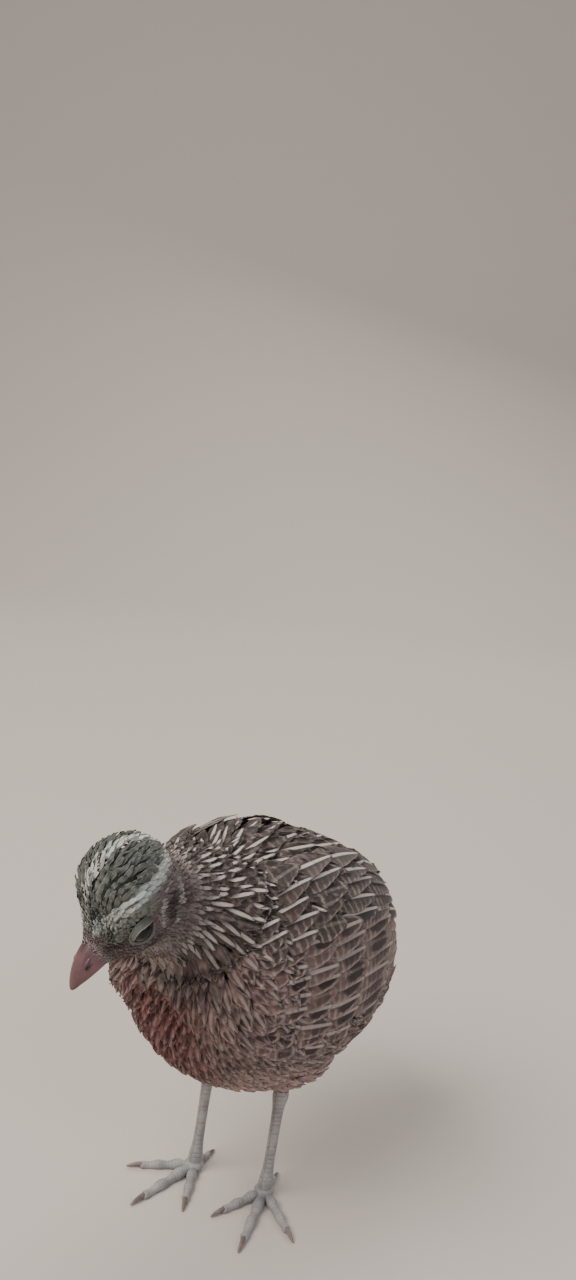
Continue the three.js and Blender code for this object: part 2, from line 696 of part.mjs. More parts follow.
function geometryOf(solid) {
  const mesh = solid.getMesh();
  const geometry = new THREE.BufferGeometry();
  geometry.setAttribute("position", new THREE.BufferAttribute(mesh.vertProperties, 3));
  geometry.setIndex(new THREE.BufferAttribute(mesh.triVerts, 1));
  return geometry;
}

// A node: vertices that a cut left closer than a micrometre are merged, and only the largest surface stays.
function add(name, solid, look) {
  const geometry = geometryOf(largest(solidOf(mergeVertices(geometryOf(solid), 2e-3))));
  const made = new THREE.Mesh(geometry, new THREE.MeshStandardMaterial({ ...COLOURS[look], metalness: 0 }));
  made.name = name;
  bird.add(made);
}

const body = partedBody();
const wings = SIDES.map((side) => wing(side.sign));
const thighs = SIDES.map((side) => thigh(side));
let head = body.head;
for (const side of SIDES) {
  head = head.add(lid(side.sign));
}
for (const side of SIDES) {
  head = head.subtract(eyeball(eyeCentre(side.sign), EYE_RADIUS + GAP, EYE_SEGMENTS + 2));
  add(`eye_${side.name}`, eyeball(eyeCentre(side.sign), EYE_RADIUS, EYE_SEGMENTS), "eye");
}
add("torso", largest(body.torso), "plumage");
add("neck", largest(body.neck), "plumage");
add("head", head.subtract(billSocket()), "plumage");
add("bill_upper", upperBill(), "bill");
add("bill_lower", lowerBill(), "bill");
add("tail", tail(), "wing");
SIDES.forEach((side, i) => {
  add(`wing_${side.name}`, wings[i], "wing");
  add(`thigh_${side.name}`, largest(thighs[i]), "plumage");
  add(`shank_${side.name}`, shank(side), "leg");
  const toes = TOES.map((form) => toe(side, form));
  add(`foot_${side.name}`, footPad(side, toes), "leg");
  TOES.forEach((form, j) => {
    add(`toe_${side.name}_${form.name}`, toes[j].solid, "leg");
    add(`claw_${side.name}_${form.name}`, claw(form, toes[j]), "claw");
  });
});

// The origin is on the floor, under the middle of the bird's box.
const middle = new THREE.Box3().setFromObject(bird).getCenter(new THREE.Vector3());
bird.position.set(-middle.x, -middle.y, 0);

export default bird;
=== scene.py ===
"""A young coturnix quail as a still, life-size model: plumage, eyes, bill, legs, floor, light and camera.

Sizes are in millimetres in the bird's own frame, which the frame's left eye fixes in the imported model's.
The bird faces -Y, its left side is +X and its soles stand on z = 0. Meshes are written in metres.
"""

from __future__ import annotations

import logging
import math
from collections.abc import Callable
from dataclasses import dataclass, field
from enum import Enum
from functools import partial

import bpy
import numpy as np
from bpy.types import Material, Mesh, Node, NodeSocket, NodeTree, Object
from mathutils import Matrix, Vector
from mathutils.bvhtree import BVHTree

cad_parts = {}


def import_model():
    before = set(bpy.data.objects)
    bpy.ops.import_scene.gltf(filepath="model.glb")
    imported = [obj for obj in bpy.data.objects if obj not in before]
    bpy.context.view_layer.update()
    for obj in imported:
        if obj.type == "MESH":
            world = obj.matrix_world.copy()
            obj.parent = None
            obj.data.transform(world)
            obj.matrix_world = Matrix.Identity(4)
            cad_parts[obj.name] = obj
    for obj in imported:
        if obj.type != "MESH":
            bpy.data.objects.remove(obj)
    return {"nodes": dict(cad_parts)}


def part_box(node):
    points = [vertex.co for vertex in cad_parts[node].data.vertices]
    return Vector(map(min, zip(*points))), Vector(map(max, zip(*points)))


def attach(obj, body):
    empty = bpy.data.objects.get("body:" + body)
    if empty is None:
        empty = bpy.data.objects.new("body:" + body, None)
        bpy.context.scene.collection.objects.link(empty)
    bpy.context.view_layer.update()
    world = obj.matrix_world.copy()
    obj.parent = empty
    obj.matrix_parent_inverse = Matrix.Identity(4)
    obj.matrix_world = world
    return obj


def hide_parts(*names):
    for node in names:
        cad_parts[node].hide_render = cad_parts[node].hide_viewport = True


LOG = logging.getLogger("quail")
MM = 0.001
LEFT = 1
RIGHT = -1
SIDE_NAMES = {LEFT: "left", RIGHT: "right"}
X, Y, Z = np.eye(3)
Array = np.ndarray
Chance = np.random.Generator
Surface = tuple[Array, list[Array]]  # rows of x, y and z, and groups of faces
Group = dict[str, Array]  # the arrays of many vanes, by name
BAKE_PATCH = 0.003  # how wide one feather's patch is on the map for baking
FULL_TURN = 2 * math.pi


class Slot(Enum):
    """The record's material slots."""

    BODY = "body_plumage"
    FLIGHT = "flight_feathers"
    EYE = "eye"
    BILL = "bill"
    LEG = "leg_scales"
    CLAW = "claw"


def linear(hex_colour: str) -> Array:
    """Turns an sRGB hex value such as "7a6a5c" to linear red, green and blue, by the standard's own curve."""
    srgb = np.array([int(hex_colour[i : i + 2], 16) / 255 for i in (0, 2, 4)])
    return np.where(srgb <= 0.04045, srgb / 12.92, ((srgb + 0.055) / 1.055) ** 2.4)


def rgba(hex_colour: str) -> tuple[float, float, float, float]:
    """The linear colour of a hex value with full alpha, for a shader socket."""
    return (*linear(hex_colour).tolist(), 1.0)


def smooth(low: float, high: float, value: Array) -> Array:
    """Rises from 0 at low to 1 at high as 3t^2 - 2t^3."""
    t = np.clip((np.asarray(value, float) - low) / (high - low), 0, 1)
    return t * t * (3 - 2 * t)


def unit(vectors: Array) -> Array:
    """Vectors scaled to length 1 along their last axis."""
    return vectors / np.maximum(np.linalg.norm(vectors, axis=-1, keepdims=True), 1e-9)


def xyz(x: Array, y: Array, z: Array) -> Array:
    """Three arrays, stretched to one shape, side by side along a new last axis."""
    return np.stack(np.broadcast_arrays(x, y, z), -1)


def circle(count: int) -> Array:
    """Angles at even steps round a full turn, the last one short of the first."""
    return np.linspace(0, FULL_TURN, count, endpoint=False)


def each(values: Array) -> Array:
    """One value for each vane, ready to broadcast over its grid."""
    return values[:, None, None]


def curve_at(stations: tuple, place: Array) -> Array:
    """Smooth values between evenly spaced stations, by cubic Hermite spans with central slopes.

    Args:
        stations: One row for each station.
        place: Where to read, 0 at the first station and 1 at the last, of any shape.

    Returns:
        The values, of place's shape with the stations' columns as last axis.
    """
    stations = np.array(stations, float)
    last = len(stations) - 1
    scaled = np.clip(place, 0, 1) * last
    low = np.minimum(np.floor(scaled).astype(int), last - 1)
    t = (scaled - low)[..., None]
    p0, p1, p2, p3 = (stations[np.clip(low + i, 0, last)] for i in (-1, 0, 1, 2))
    slope_in, slope_out = (p2 - p0) / 2, (p3 - p1) / 2
    t2, t3 = t * t, t * t * t
    ends = (2 * t3 - 3 * t2 + 1) * p1 + (t3 - 2 * t2 + t) * slope_in
    return ends + (3 * t2 - 2 * t3) * p2 + (t3 - t2) * slope_out


@dataclass(frozen=True)
class Trunk:
    """The trunk from rump, place 0, to breast, place 1: sections of y, top, bottom and half width."""

    stations: tuple = (
        (48, 63, 63, 0), (45.5, 72, 54, 9), (37, 84, 46, 17.5), (25, 94, 39.5, 24),
        (10, 100.5, 35.5, 27), (-5, 103, 35, 28), (-18, 102, 39, 26.2), (-28, 97, 46, 22.5),
        (-34.5, 88, 56, 15), (-37, 72, 72, 0),
    )

    def sections(self, place: Array) -> Array:
        """Rows of y, top, bottom and half width at places along the trunk."""
        return curve_at(self.stations, place)

    def point(self, place: Array, angle: Array, lift: Array) -> Array:
        """Points over the trunk: an ellipse of half width and half height, both grown by the lift.

        Args:
            place: From rump, 0, to breast, 1.
            angle: Radians from the top, positive towards the bird's left.
            lift: Height over the trunk, in millimetres.

        Returns:
            Points, with x, y and z as last axis.
        """
        y, top, bottom, half = np.moveaxis(self.sections(place), -1, 0)
        x = (half + lift) * np.sin(angle)
        z = (top + bottom) / 2 + ((top - bottom) / 2 + lift) * np.cos(angle)
        return xyz(x, y, z)

    def where(self, points: Array) -> tuple[Array, Array]:
        """Reads points near the trunk in its own terms.

        Args:
            points: Rows of x, y and z.

        Returns:
            The place along the trunk, and how many degrees lie between them and the top.
        """
        places = np.linspace(0, 1, 400)
        y, top, bottom, half = self.sections(places).T
        index = np.clip(np.searchsorted(-y, -points[..., 1]), 0, len(places) - 1)
        over = (points[..., 2] - (top + bottom)[index] / 2) / ((top - bottom)[index] / 2 + 0.5)
        return places[index], np.degrees(np.arctan2(np.abs(points[..., 0]) / (half[index] + 0.5), over))


@dataclass(frozen=True)
class Head:
    """The head: where it sits, the way it looks, and its sections along that way."""

    eye_line: tuple = (1.8, -52.5, 94.9)
    turn: float = math.radians(-13)
    pitch: float = math.radians(44)
    stations: tuple = (
        (-16.2, 1.8, 1.8, 0), (-14.8, 7.8, -4.2, 5.4), (-10.8, 11.6, -8, 8.2),
        (-5.4, 12.6, -10, 9.5), (0, 11.4, -9.6, 9.1), (4.6, 8.4, -7.6, 7.1),
        (7.6, 5.9, -5.8, 5.2), (9.6, 4.5, -4.9, 4.1), (11.2, 3.6, -4.2, 3.5),
        (12.5, 2.9, -3.9, 3.1), (13.0, -0.4, -0.4, 0),
    )
    eye_radius: float = 3.3
    eye_side: float = 6.5
    eye_height: float = 1.0

    @property
    def turning(self) -> Array:
        """The rotation from the head's frame, +Y to the bill and +Z to the crown, to the bird's."""
        return np.array(Matrix.Rotation(math.pi + self.turn, 3, "Z") @ Matrix.Rotation(-self.pitch, 3, "X"))

    def place(self, points: Array) -> Array:
        """Points in the head's frame, put in the bird's."""
        return np.asarray(points, float) @ self.turning.T + np.array(self.eye_line)

    def read(self, points: Array) -> Array:
        """Points in the bird's frame, as the head's frame gives them."""
        return (np.asarray(points, float) - np.array(self.eye_line)) @ self.turning

    def eye(self, side: int) -> Array:
        """The centre of an eye in the head's frame: the bird's left is the head frame's -X."""
        return np.array([-side * self.eye_side, 0, self.eye_height])

    def skull(self, points: Array) -> Array:
        """How far points of the bird's frame lie from the skull's middle, a little behind the eyes."""
        x, y, z = self.read(points).T
        return np.sqrt(x**2 + (y + 3) ** 2 + (z - 1) ** 2)


TRUNK = Trunk()
HEAD = Head()


@dataclass
class Placing:
    """The shift from the bird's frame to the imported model's, read from the left eye's box."""

    shift: Array = field(default_factory=lambda: np.zeros(3))

    def read(self) -> None:
        """Takes the shift as the eye's known centre less the middle of its box."""
        low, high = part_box("eye_left")
        middle = np.array((low + high) / 2) / MM
        self.shift = HEAD.place(HEAD.eye(LEFT)) - middle
        self.shift[2] = 0
        LOG.info("bird's frame lies %.2f, %.2f mm from the model's", *self.shift[:2])

    def metres(self, points: Array) -> Array:
        """Points of the bird's frame in millimetres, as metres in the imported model's."""
        return (np.asarray(points, float) - self.shift) * MM


PLACING = Placing()


# Meshes


def write_mesh(name: str, points: Array, faces: Array | list, material: Material | None = None) -> Object:
    """Makes an object from points in millimetres and faces.

    Args:
        name: The piece's name.
        points: Rows of x, y and z in the bird's frame.
        faces: Rows of three or four indices, or a list of such arrays.
        material: Its finish.

    Returns:
        The new object, linked to the scene and shaded smooth.
    """
    groups = faces if isinstance(faces, list) else [faces]
    loops = np.concatenate([g.ravel() for g in groups]).astype(np.int32)
    totals = np.concatenate([np.full(len(g), g.shape[1]) for g in groups]).astype(np.int32)
    starts = np.concatenate([[0], np.cumsum(totals)[:-1]]).astype(np.int32)
    mesh = bpy.data.meshes.new(name)
    mesh.vertices.add(len(points))
    mesh.vertices.foreach_set("co", PLACING.metres(points).astype(np.float32).ravel())
    mesh.loops.add(len(loops))
    mesh.loops.foreach_set("vertex_index", loops)
    mesh.polygons.add(len(totals))
    mesh.polygons.foreach_set("loop_start", starts)
    mesh.update(calc_edges=True)
    mesh.validate()
    mesh.polygons.foreach_set("use_smooth", np.ones(len(mesh.polygons), bool))
    made = bpy.data.objects.new(name, mesh)
    bpy.context.scene.collection.objects.link(made)
    if material:
        mesh.materials.append(material)
    return made


def grid_faces(index: Array) -> Array:
    """Quads between the neighbouring rows and columns of a grid of indices."""
    return np.stack([index[:-1, :-1], index[:-1, 1:], index[1:, 1:], index[1:, :-1]], -1).reshape(-1, 4)


def tube_faces(rings: int, sides: int) -> list[Array]:
    """Faces of a closed tube: quads between rings of points, and fans to the two poles that follow them.

    Args:
        rings: How many rings.
        sides: How many points in each.

    Returns:
        The quads and the triangles.
    """
    ring, side = np.meshgrid(np.arange(rings - 1), np.arange(sides), indexing="ij")
    beside = (side + 1) % sides
    here, ahead = ring * sides, (ring + 1) * sides
    quads = np.stack([here + side, ahead + side, ahead + beside, here + beside], -1).reshape(-1, 4)
    i = np.arange(sides)
    j = (i + 1) % sides
    start = np.stack([np.full(sides, rings * sides), i, j], -1)
    last = (rings - 1) * sides
    end = np.stack([last + i, np.full(sides, rings * sides + 1), last + j], -1)
    return [quads, np.concatenate([start, end])]


def outward(points: Array, faces: list[Array]) -> list[Array]:
    """Turns faces outwards: round, where the volume they enclose comes out below zero.

    Args:
        points: Rows of x, y and z.
        faces: Groups of triangles or quads.

    Returns:
        The faces.
    """
    volume = 0.0
    for group in faces:
        a, b, c = (points[group[:, i]] for i in (0, 1, 2))
        volume += np.einsum("ij,ij->", a, np.cross(b, c))
        if group.shape[1] == 4:
            volume += np.einsum("ij,ij->", a, np.cross(c, points[group[:, 3]]))
    return faces if volume > 0 else [group[:, ::-1] for group in faces]


def swept(centres: Array, across: Array, up: Array, sides: int) -> Surface:
    """A closed tube: at each centre a ring, centre + across cos(a) + up sin(a), closed by its end centres.

    Args:
        centres: One row for each ring.
        across: The half axis of each ring's ellipse to one side.
        up: The other half axis.
        sides: How many points go round.

    Returns:
        The points and the faces.
    """
    angle = circle(sides)[:, None]
    ring = across[:, None] * np.cos(angle) + up[:, None] * np.sin(angle)
    points = np.concatenate([(centres[:, None] + ring).reshape(-1, 3), centres[:1], centres[-1:]])
    return points, outward(points, tube_faces(len(centres), sides))


def egg(centre: list, axis: list, across: list, up: list, rings: int, sides: int) -> Surface:
    """A closed egg: rings at centre + axis cos(t), whose half axes open as sin(t), t from pole to pole.

    Args:
        centre: Its middle.
        axis: From the middle to one pole.
        across: The half axis to one side.
        up: The other half axis.
        rings: How many rings.
        sides: How many points in each.

    Returns:
        The points and the faces.
    """
    turn = np.linspace(0, math.pi, rings + 2)[1:-1, None]
    centres = np.array(centre) + np.cos(turn) * np.array(axis)
    return swept(centres, np.sin(turn) * np.array(across), np.sin(turn) * np.array(up), sides)


def lofted(stations: tuple, rings: int, sides: int, swell: float) -> Surface:
    """A closed body of elliptical sections strung along y, with a point at each end.

    Args:
        stations: Rows of y, top, bottom and half width.
        rings: How many rings.
        sides: How many points in each.
        swell: How far it is grown.

    Returns:
        The points and the faces.
    """
    turn = np.linspace(0, math.pi, rings + 2)[1:-1]
    y, top, bottom, half = curve_at(stations, (1 - np.cos(turn)) / 2).T
    y = y + swell * np.sign(stations[0][0] - stations[-1][0]) * np.cos(turn)
    centres = y[:, None] * Y + ((top + bottom) / 2)[:, None] * Z
    across = np.maximum(half + swell, 0.2)[:, None] * X
    return swept(centres, across, np.maximum((top - bottom) / 2 + swell, 0.2)[:, None] * Z, sides)


def joined(parts: list[Surface]) -> Surface:
    """Joins closed surfaces: the indices of each are raised by the points before it.

    Args:
        parts: Points and faces of each.

    Returns:
        All points and all faces.
    """
    points, faces, start = [], [], 0
    for part_points, part_faces in parts:
        points.append(part_points)
        faces.extend(group + start for group in part_faces)
        start += len(part_points)
    return np.concatenate(points), faces


def give(mesh: Mesh, name: str, values: Array, kind: str = "FLOAT_COLOR") -> None:
    """Writes one value for each vertex as a named attribute.

    Args:
        mesh: The mesh.
        name: The attribute's name.
        values: Rows of three or four numbers.
        kind: The attribute's type.
    """
    attribute = mesh.attributes.new(name, kind, "POINT")
    key = "color" if kind == "FLOAT_COLOR" else "vector"
    attribute.data.foreach_set(key, np.ascontiguousarray(values, np.float32).ravel())


def with_alpha(colours: Array) -> Array:
    """Colours with a fourth column of ones."""
    return np.concatenate([colours, np.ones((*colours.shape[:-1], 1))], -1)


def settle(piece: Object, slot: Slot, *nodes: str) -> None:
    """Lets a piece ride on the one body, hides the frame's nodes it stands for, and logs it.

    Args:
        piece: The object.
        slot: Its material slot. Not used.
        nodes: The frame's nodes that it replaces.
    """
    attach(piece, "root")
    if nodes:
        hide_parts(*nodes)
    LOG.info("%s: %d faces, for %s", piece.name, len(piece.data.polygons), ", ".join(nodes) or "no node")


# Finishes

EASED = {"interpolation_type": "SMOOTHSTEP"}
TIMES = {"operation": "MULTIPLY"}
TIMES_PLUS = {"operation": "MULTIPLY_ADD"}
TINTED = {"blend_type": "MULTIPLY"}


def add_node(
    tree: NodeTree, kind: str, settings: dict | None = None, links: list | dict | None = None
) -> Node:
    """Adds a shader node.

    Args:
        tree: The material's node tree.
        kind: The node's type, without the prefix ShaderNode.
        settings: Its properties by name.
        links: Its inputs in order or by name: a node, whose first output is joined, an output socket, or a
            plain value.

    Returns:
        The node.
    """
    made = tree.nodes.new("ShaderNode" + kind)
    for key, value in (settings or {}).items():
        setattr(made, key, value)
    for key, value in links.items() if isinstance(links, dict) else enumerate(links or ()):
        if isinstance(value, Node):
            value = value.outputs[0]
        if isinstance(value, NodeSocket):
            tree.links.new(value, made.inputs[key])
        else:
            made.inputs[key].default_value = value
    return made


def new_finish(name: str) -> tuple[Material, Callable[..., Node]]:
    """A material whose tree is empty but for its output.

    Args:
        name: The material's name.

    Returns:
        The material, and add_node for its tree.
    """
    material = bpy.data.materials.new(name)
    material.use_nodes = True
    material.node_tree.nodes.clear()
    material.node_tree.nodes.new("ShaderNodeOutputMaterial")
    return material, partial(add_node, material.node_tree)


def finish_surface(material: Material, links: dict) -> Material:
    """Adds the surface shader and joins it to the output.

    Args:
        material: The material.
        links: The shader's inputs by name.

    Returns:
        The same material, ready.
    """
    tree = material.node_tree
    shader = add_node(tree, "BsdfPrincipled", None, links)
    output = next(n for n in tree.nodes if n.type == "OUTPUT_MATERIAL")
    tree.links.new(shader.outputs[0], output.inputs["Surface"])
    return material


@dataclass(frozen=True)
class FeatherFinish:
    """Keratin vanes, grown and preened: dull, finely ribbed by barbs, soft at the rim, marked by pigment.

    Bars, shaft streak, spots and fringe are drawn from the vane's own map, and how strong each is, and
    their colours, come from the feather's attributes.
    """

    name: str
    bar_mm: float = 2.3  # from one pale bar to the next
    streak_mm: float = 0.4  # half the shaft streak's width
    barb_mm: float = 0.36  # on a feather 5 mm wide; real barbs are finer, drawn as coarse as shows
    grain: float = 900.0  # mottling of about 1 mm
    blotch: float = 420.0  # blotches some 2 mm wide
    roughness: float = 0.72

    def make(self) -> Material:
        """Builds the material.

        Returns:
            The material.
        """
        material, add = new_finish(self.name)
        share_across, share_along, _ = add("SeparateXYZ", None, [add("UVMap", {"uv_map": "Vane"})]).outputs
        size = add("Attribute", {"attribute_name": "size"}).outputs["Vector"]
        half, length, chance = add("SeparateXYZ", None, [size]).outputs
        marks = add("Attribute", {"attribute_name": "marks"})
        streaked, barred, spotted = add("SeparateColor", None, [marks]).outputs
        keys = ("ground", "light", "dark")
        ground, light, dark = (add("Attribute", {"attribute_name": key}) for key in keys)
        place = add("TexCoord").outputs["Object"]
        grain = add("TexNoise", None, {"Vector": place, "Scale": self.grain, "Detail": 3.0})
        cloud = add("TexNoise", None, {"Vector": place, "Scale": self.blotch, "Detail": 2.0})

        # The share from the shaft to the rim, and millimetres across and along the vane.
        rim = add("Math", {"operation": "ABSOLUTE"}, [add("Math", TIMES_PLUS, [share_across, 2.0, -1.0])])
        across = add("Math", TIMES, [rim, half])
        along = add("Math", TIMES, [share_along, length])

        # Bars slope back from the shaft, wander with the grain and start anywhere.
        slope = add("Math", TIMES_PLUS, [across, -0.45, along])
        shake = add("Math", TIMES_PLUS, [grain, 2.3, slope])
        start = add("Math", TIMES_PLUS, [chance, 3.0, shake])
        wave = add("Math", {"operation": "SINE"}, [add("Math", TIMES, [start, FULL_TURN / self.bar_mm])])

        # Two spots lie either side of the shaft near the tip, with ragged edges.
        out = add("Math", TIMES_PLUS, [rim, 2.6, -0.95])
        down = add("Math", TIMES_PLUS, [share_along, 5.6, -4.1])
        far = add("VectorMath", {"operation": "LENGTH"}, [add("CombineXYZ", None, [out, down])])
        ragged = add("Math", TIMES_PLUS, [grain, 0.7, far.outputs["Value"]])

        # The fringe runs round the rim and the tip.
        tip = add("Math", {"operation": "POWER"}, [share_along, 3.0])
        outer = add("Math", {"operation": "MAXIMUM"}, [rim, tip])

        # Each marking is laid over those before it: it rises from none at low to most at high.
        base = ground
        for value, low, high, most, mark, colour in (
            (wave, 0.25, 0.8, 1.0, barred, light),  # pale bars
            (wave, -0.2, -0.85, 0.6, barred, dark),  # dark troughs between them
            (ragged, 1.5, 1.05, 1.0, spotted, dark),  # the two spots
            (cloud, 0.5, 0.66, 0.6, spotted, dark),  # blotches that break the markings up
            (across, 4.2 * self.streak_mm, 1.6 * self.streak_mm, 0.75, streaked, dark),  # its border
            (across, 1.5 * self.streak_mm, 0.8 * self.streak_mm, 1.0, streaked, light),  # the streak
            (outer, 0.72, 1.0, 1.0, marks.outputs["Alpha"], light),  # the fringe
        ):
            drawn = add("MapRange", EASED, [value, low, high, 0.0, most])
            base = add("MixRGB", None, [add("Math", TIMES, [drawn, mark]), base, colour])

        # Barbs run out from the shaft at a slant: fine ribs in tone and height.
        rib = add("Math", TIMES_PLUS, [across, -1.3, along])
        fine = add("Math", TIMES_PLUS, [half, 0.3, 0.2])
        even = add("Math", {"operation": "DIVIDE"}, [rib, fine])
        ripple = add("Math", {"operation": "SINE"}, [add("Math", TIMES, [even, FULL_TURN / self.barb_mm])])
        relief = add("Math", TIMES_PLUS, [grain, 1.6, ripple])
        tone = add("MapRange", None, [relief, -0.4, 2.2, 0.8, 1.18])
        surface = {
            "Base Color": add("MixRGB", TINTED, [1.0, base, tone]),
            "Roughness": self.roughness,
            "Specular IOR Level": 0.28,
            "Sheen Weight": 0.12,
            "Sheen Roughness": 0.6,
            "Normal": add("Bump", None, {"Strength": 0.45, "Distance": 0.00012, "Height": relief}),
        }
        return finish_surface(material, surface)


@dataclass(frozen=True)
class SkinFinish:
    """The down that shows between feathers: the colour of the coat above it, duller, and darkened by painted
    shade from the feathers over it.
    """

    name: str = "downy_skin"
    fluff: float = 1400.0  # tufts of about 0.7 mm

    def make(self) -> Material:
        """Builds the material.

        Returns:
            The material.
        """
        material, add = new_finish(self.name)
        ground, dark = (add("Attribute", {"attribute_name": key}) for key in ("ground", "dark"))
        place = add("TexCoord").outputs["Object"]
        fluff = add("TexNoise", None, {"Vector": place, "Scale": self.fluff, "Detail": 4.0})
        # The mix leans towards the dark colour: painted shade under the feathers.
        share = add("MapRange", None, [fluff, 0.35, 0.7, 0.25, 0.9])
        surface = {
            "Base Color": add("MixRGB", None, [share, ground, dark]),
            "Roughness": 0.9,
            "Specular IOR Level": 0.15,
            "Normal": add("Bump", None, {"Strength": 0.8, "Distance": 0.0003, "Height": fluff}),
        }
        return finish_surface(material, surface)


@dataclass(frozen=True)
class HornFinish:
    """Bare horn and scaled skin: two tones clouded into each other, with fine scales or growth lines."""

    name: str
    main: str
    shade: str
    roughness: float
    cloud: float = 260.0  # clouds of some 4 mm
    grain: float = 2600.0  # scales of about 0.4 mm
    relief_mm: float = 0.05
    subsurface: float = 0.0

    def make(self) -> Material:
        """Builds the material.

        Returns:
            The material.
        """
        material, add = new_finish(self.name)
        place = add("TexCoord").outputs["Object"]
        cloud = add("TexNoise", None, {"Vector": place, "Scale": self.cloud, "Detail": 3.0})
        share = add("MapRange", None, [cloud, 0.36, 0.66])
        cells = add("TexVoronoi", {"feature": "DISTANCE_TO_EDGE"}, {"Vector": place, "Scale": self.grain})
        edge = add("MapRange", None, [cells, 0.0, 0.14])
        # Each point's tint: the part's own tone, with painted shade in the leg's grooves and the nostrils'
        # slits.
        tint = add("Attribute", {"attribute_name": "tint"})
        lined = add("MapRange", None, [edge, 0.0, 1.0, 0.86, 1.0])
        tone = add("MixRGB", None, [share, rgba(self.main), rgba(self.shade)])
        for over in (lined, tint):
            tone = add("MixRGB", TINTED, [1.0, tone, over])
        surface = {
            "Base Color": tone,
            "Roughness": self.roughness,
            "IOR": 1.54,
            "Subsurface Weight": self.subsurface,
            "Subsurface Radius": (0.0012, 0.0006, 0.0004),
            "Normal": add("Bump", None, {"Strength": 0.6, "Distance": self.relief_mm * MM, "Height": edge}),
        }
        return finish_surface(material, surface)


@dataclass(frozen=True)
class EyeFinish:
    """A wet eye: black pupil, dark brown iris with fine spokes, under a smooth clear coat."""

    name: str = "wet_eye"
    pupil_mm: float = 1.6
    iris_mm: float = 2.5

    def make(self) -> Material:
        """Builds the material, which reads how far each point lies from the line of sight.

        Returns:
            The material.
        """
        material, add = new_finish(self.name)
        off = add("Attribute", {"attribute_name": "sight"}).outputs["Vector"]
        far = add("SeparateXYZ", None, [off]).outputs[2]
        spokes = add("TexNoise", None, {"Vector": off, "Scale": 9.0, "Detail": 2.0})
        iris = add("MixRGB", None, [spokes, rgba("150d0a"), rgba("38251b")])
        pupil = add("MapRange", EASED, [far, self.pupil_mm - 0.1, self.pupil_mm + 0.1])
        tone = add("MixRGB", None, [pupil, rgba("040404"), iris])
        outer = add("MapRange", EASED, [far, self.iris_mm - 0.2, self.iris_mm + 0.15])
        surface = {
            "Base Color": add("MixRGB", None, [outer, tone, rgba("120d0b")]),
            "Roughness": 0.06,
            "IOR": 1.336,
            "Coat Weight": 0.15,
            "Coat Roughness": 0.03,
        }
        return finish_surface(material, surface)


@dataclass(frozen=True)
class FloorFinish:
    """A pale, plain, matt floor."""

    name: str = "pale_floor"
    colour: str = "c9c0b8"

    def make(self) -> Material:
        """Builds the material."""
        surface = {"Base Color": rgba(self.colour), "Roughness": 0.75, "Specular IOR Level": 0.2}
        return finish_surface(new_finish(self.name)[0], surface)


# Plumage: where each colour and marking lies


@dataclass
class Pattern:
    """The marks of many points of plumage: three linear colours, and how strong each marking is."""

    ground: Array
    light: Array
    dark: Array
    marks: Array  # shaft streak, bars, spots, fringe

    @staticmethod
    def plain(count: int, ground: str, light: str, dark: str, marks: tuple) -> Pattern:
        """The same colours and marks for every point."""
        rows = [np.tile(linear(colour), (count, 1)) for colour in (ground, light, dark)]
        return Pattern(*rows, np.tile(np.array(marks, float), (count, 1)))

    def blend(self, mask: Array, ground: str, light: str, dark: str, marks: tuple) -> None:
        """Moves every point towards other colours and marks by its share of the mask.

        Args:
            mask: One share for each point.
            ground: The main colour there.
            light: The colour of bars, streak and fringe.
            dark: The colour of spots and borders.
            marks: How strong streak, bars, spots and fringe are.
        """
        share = np.asarray(mask, float)[:, None]
        for key, colour in (("ground", ground), ("light", light), ("dark", dark)):
            setattr(self, key, getattr(self, key) * (1 - share) + linear(colour) * share)
        self.marks = self.marks * (1 - share) + np.array(marks, float) * share

    def vary(self, rng: Chance, amount: float) -> None:
        """Makes feathers differ: each is lightened or darkened by a factor of 1 give or take the amount.

        Three in ten have hardly any shaft streak, and bars and spots vary freely.

        Args:
            rng: Where differences come from.
            amount: The greatest change of tone.
        """
        self.marks[:, 0] *= np.where(rng.random(len(self.marks)) < 0.3, 0.15, 1.0)
        self.marks[:, 1] *= rng.uniform(0.35, 1.1, len(self.marks))
        self.marks[:, 2] *= rng.uniform(0.3, 1.2, len(self.marks))
        factor = 1 + amount * rng.uniform(-1, 1, (len(self.ground), 1))
        warmth = 1 + 0.04 * rng.uniform(-1, 1, (len(self.ground), 1)) * np.array([1, 0, -1])
        self.ground = self.ground * factor * warmth
        self.light = self.light * (0.5 + 0.5 * factor)
        self.dark = self.dark * factor


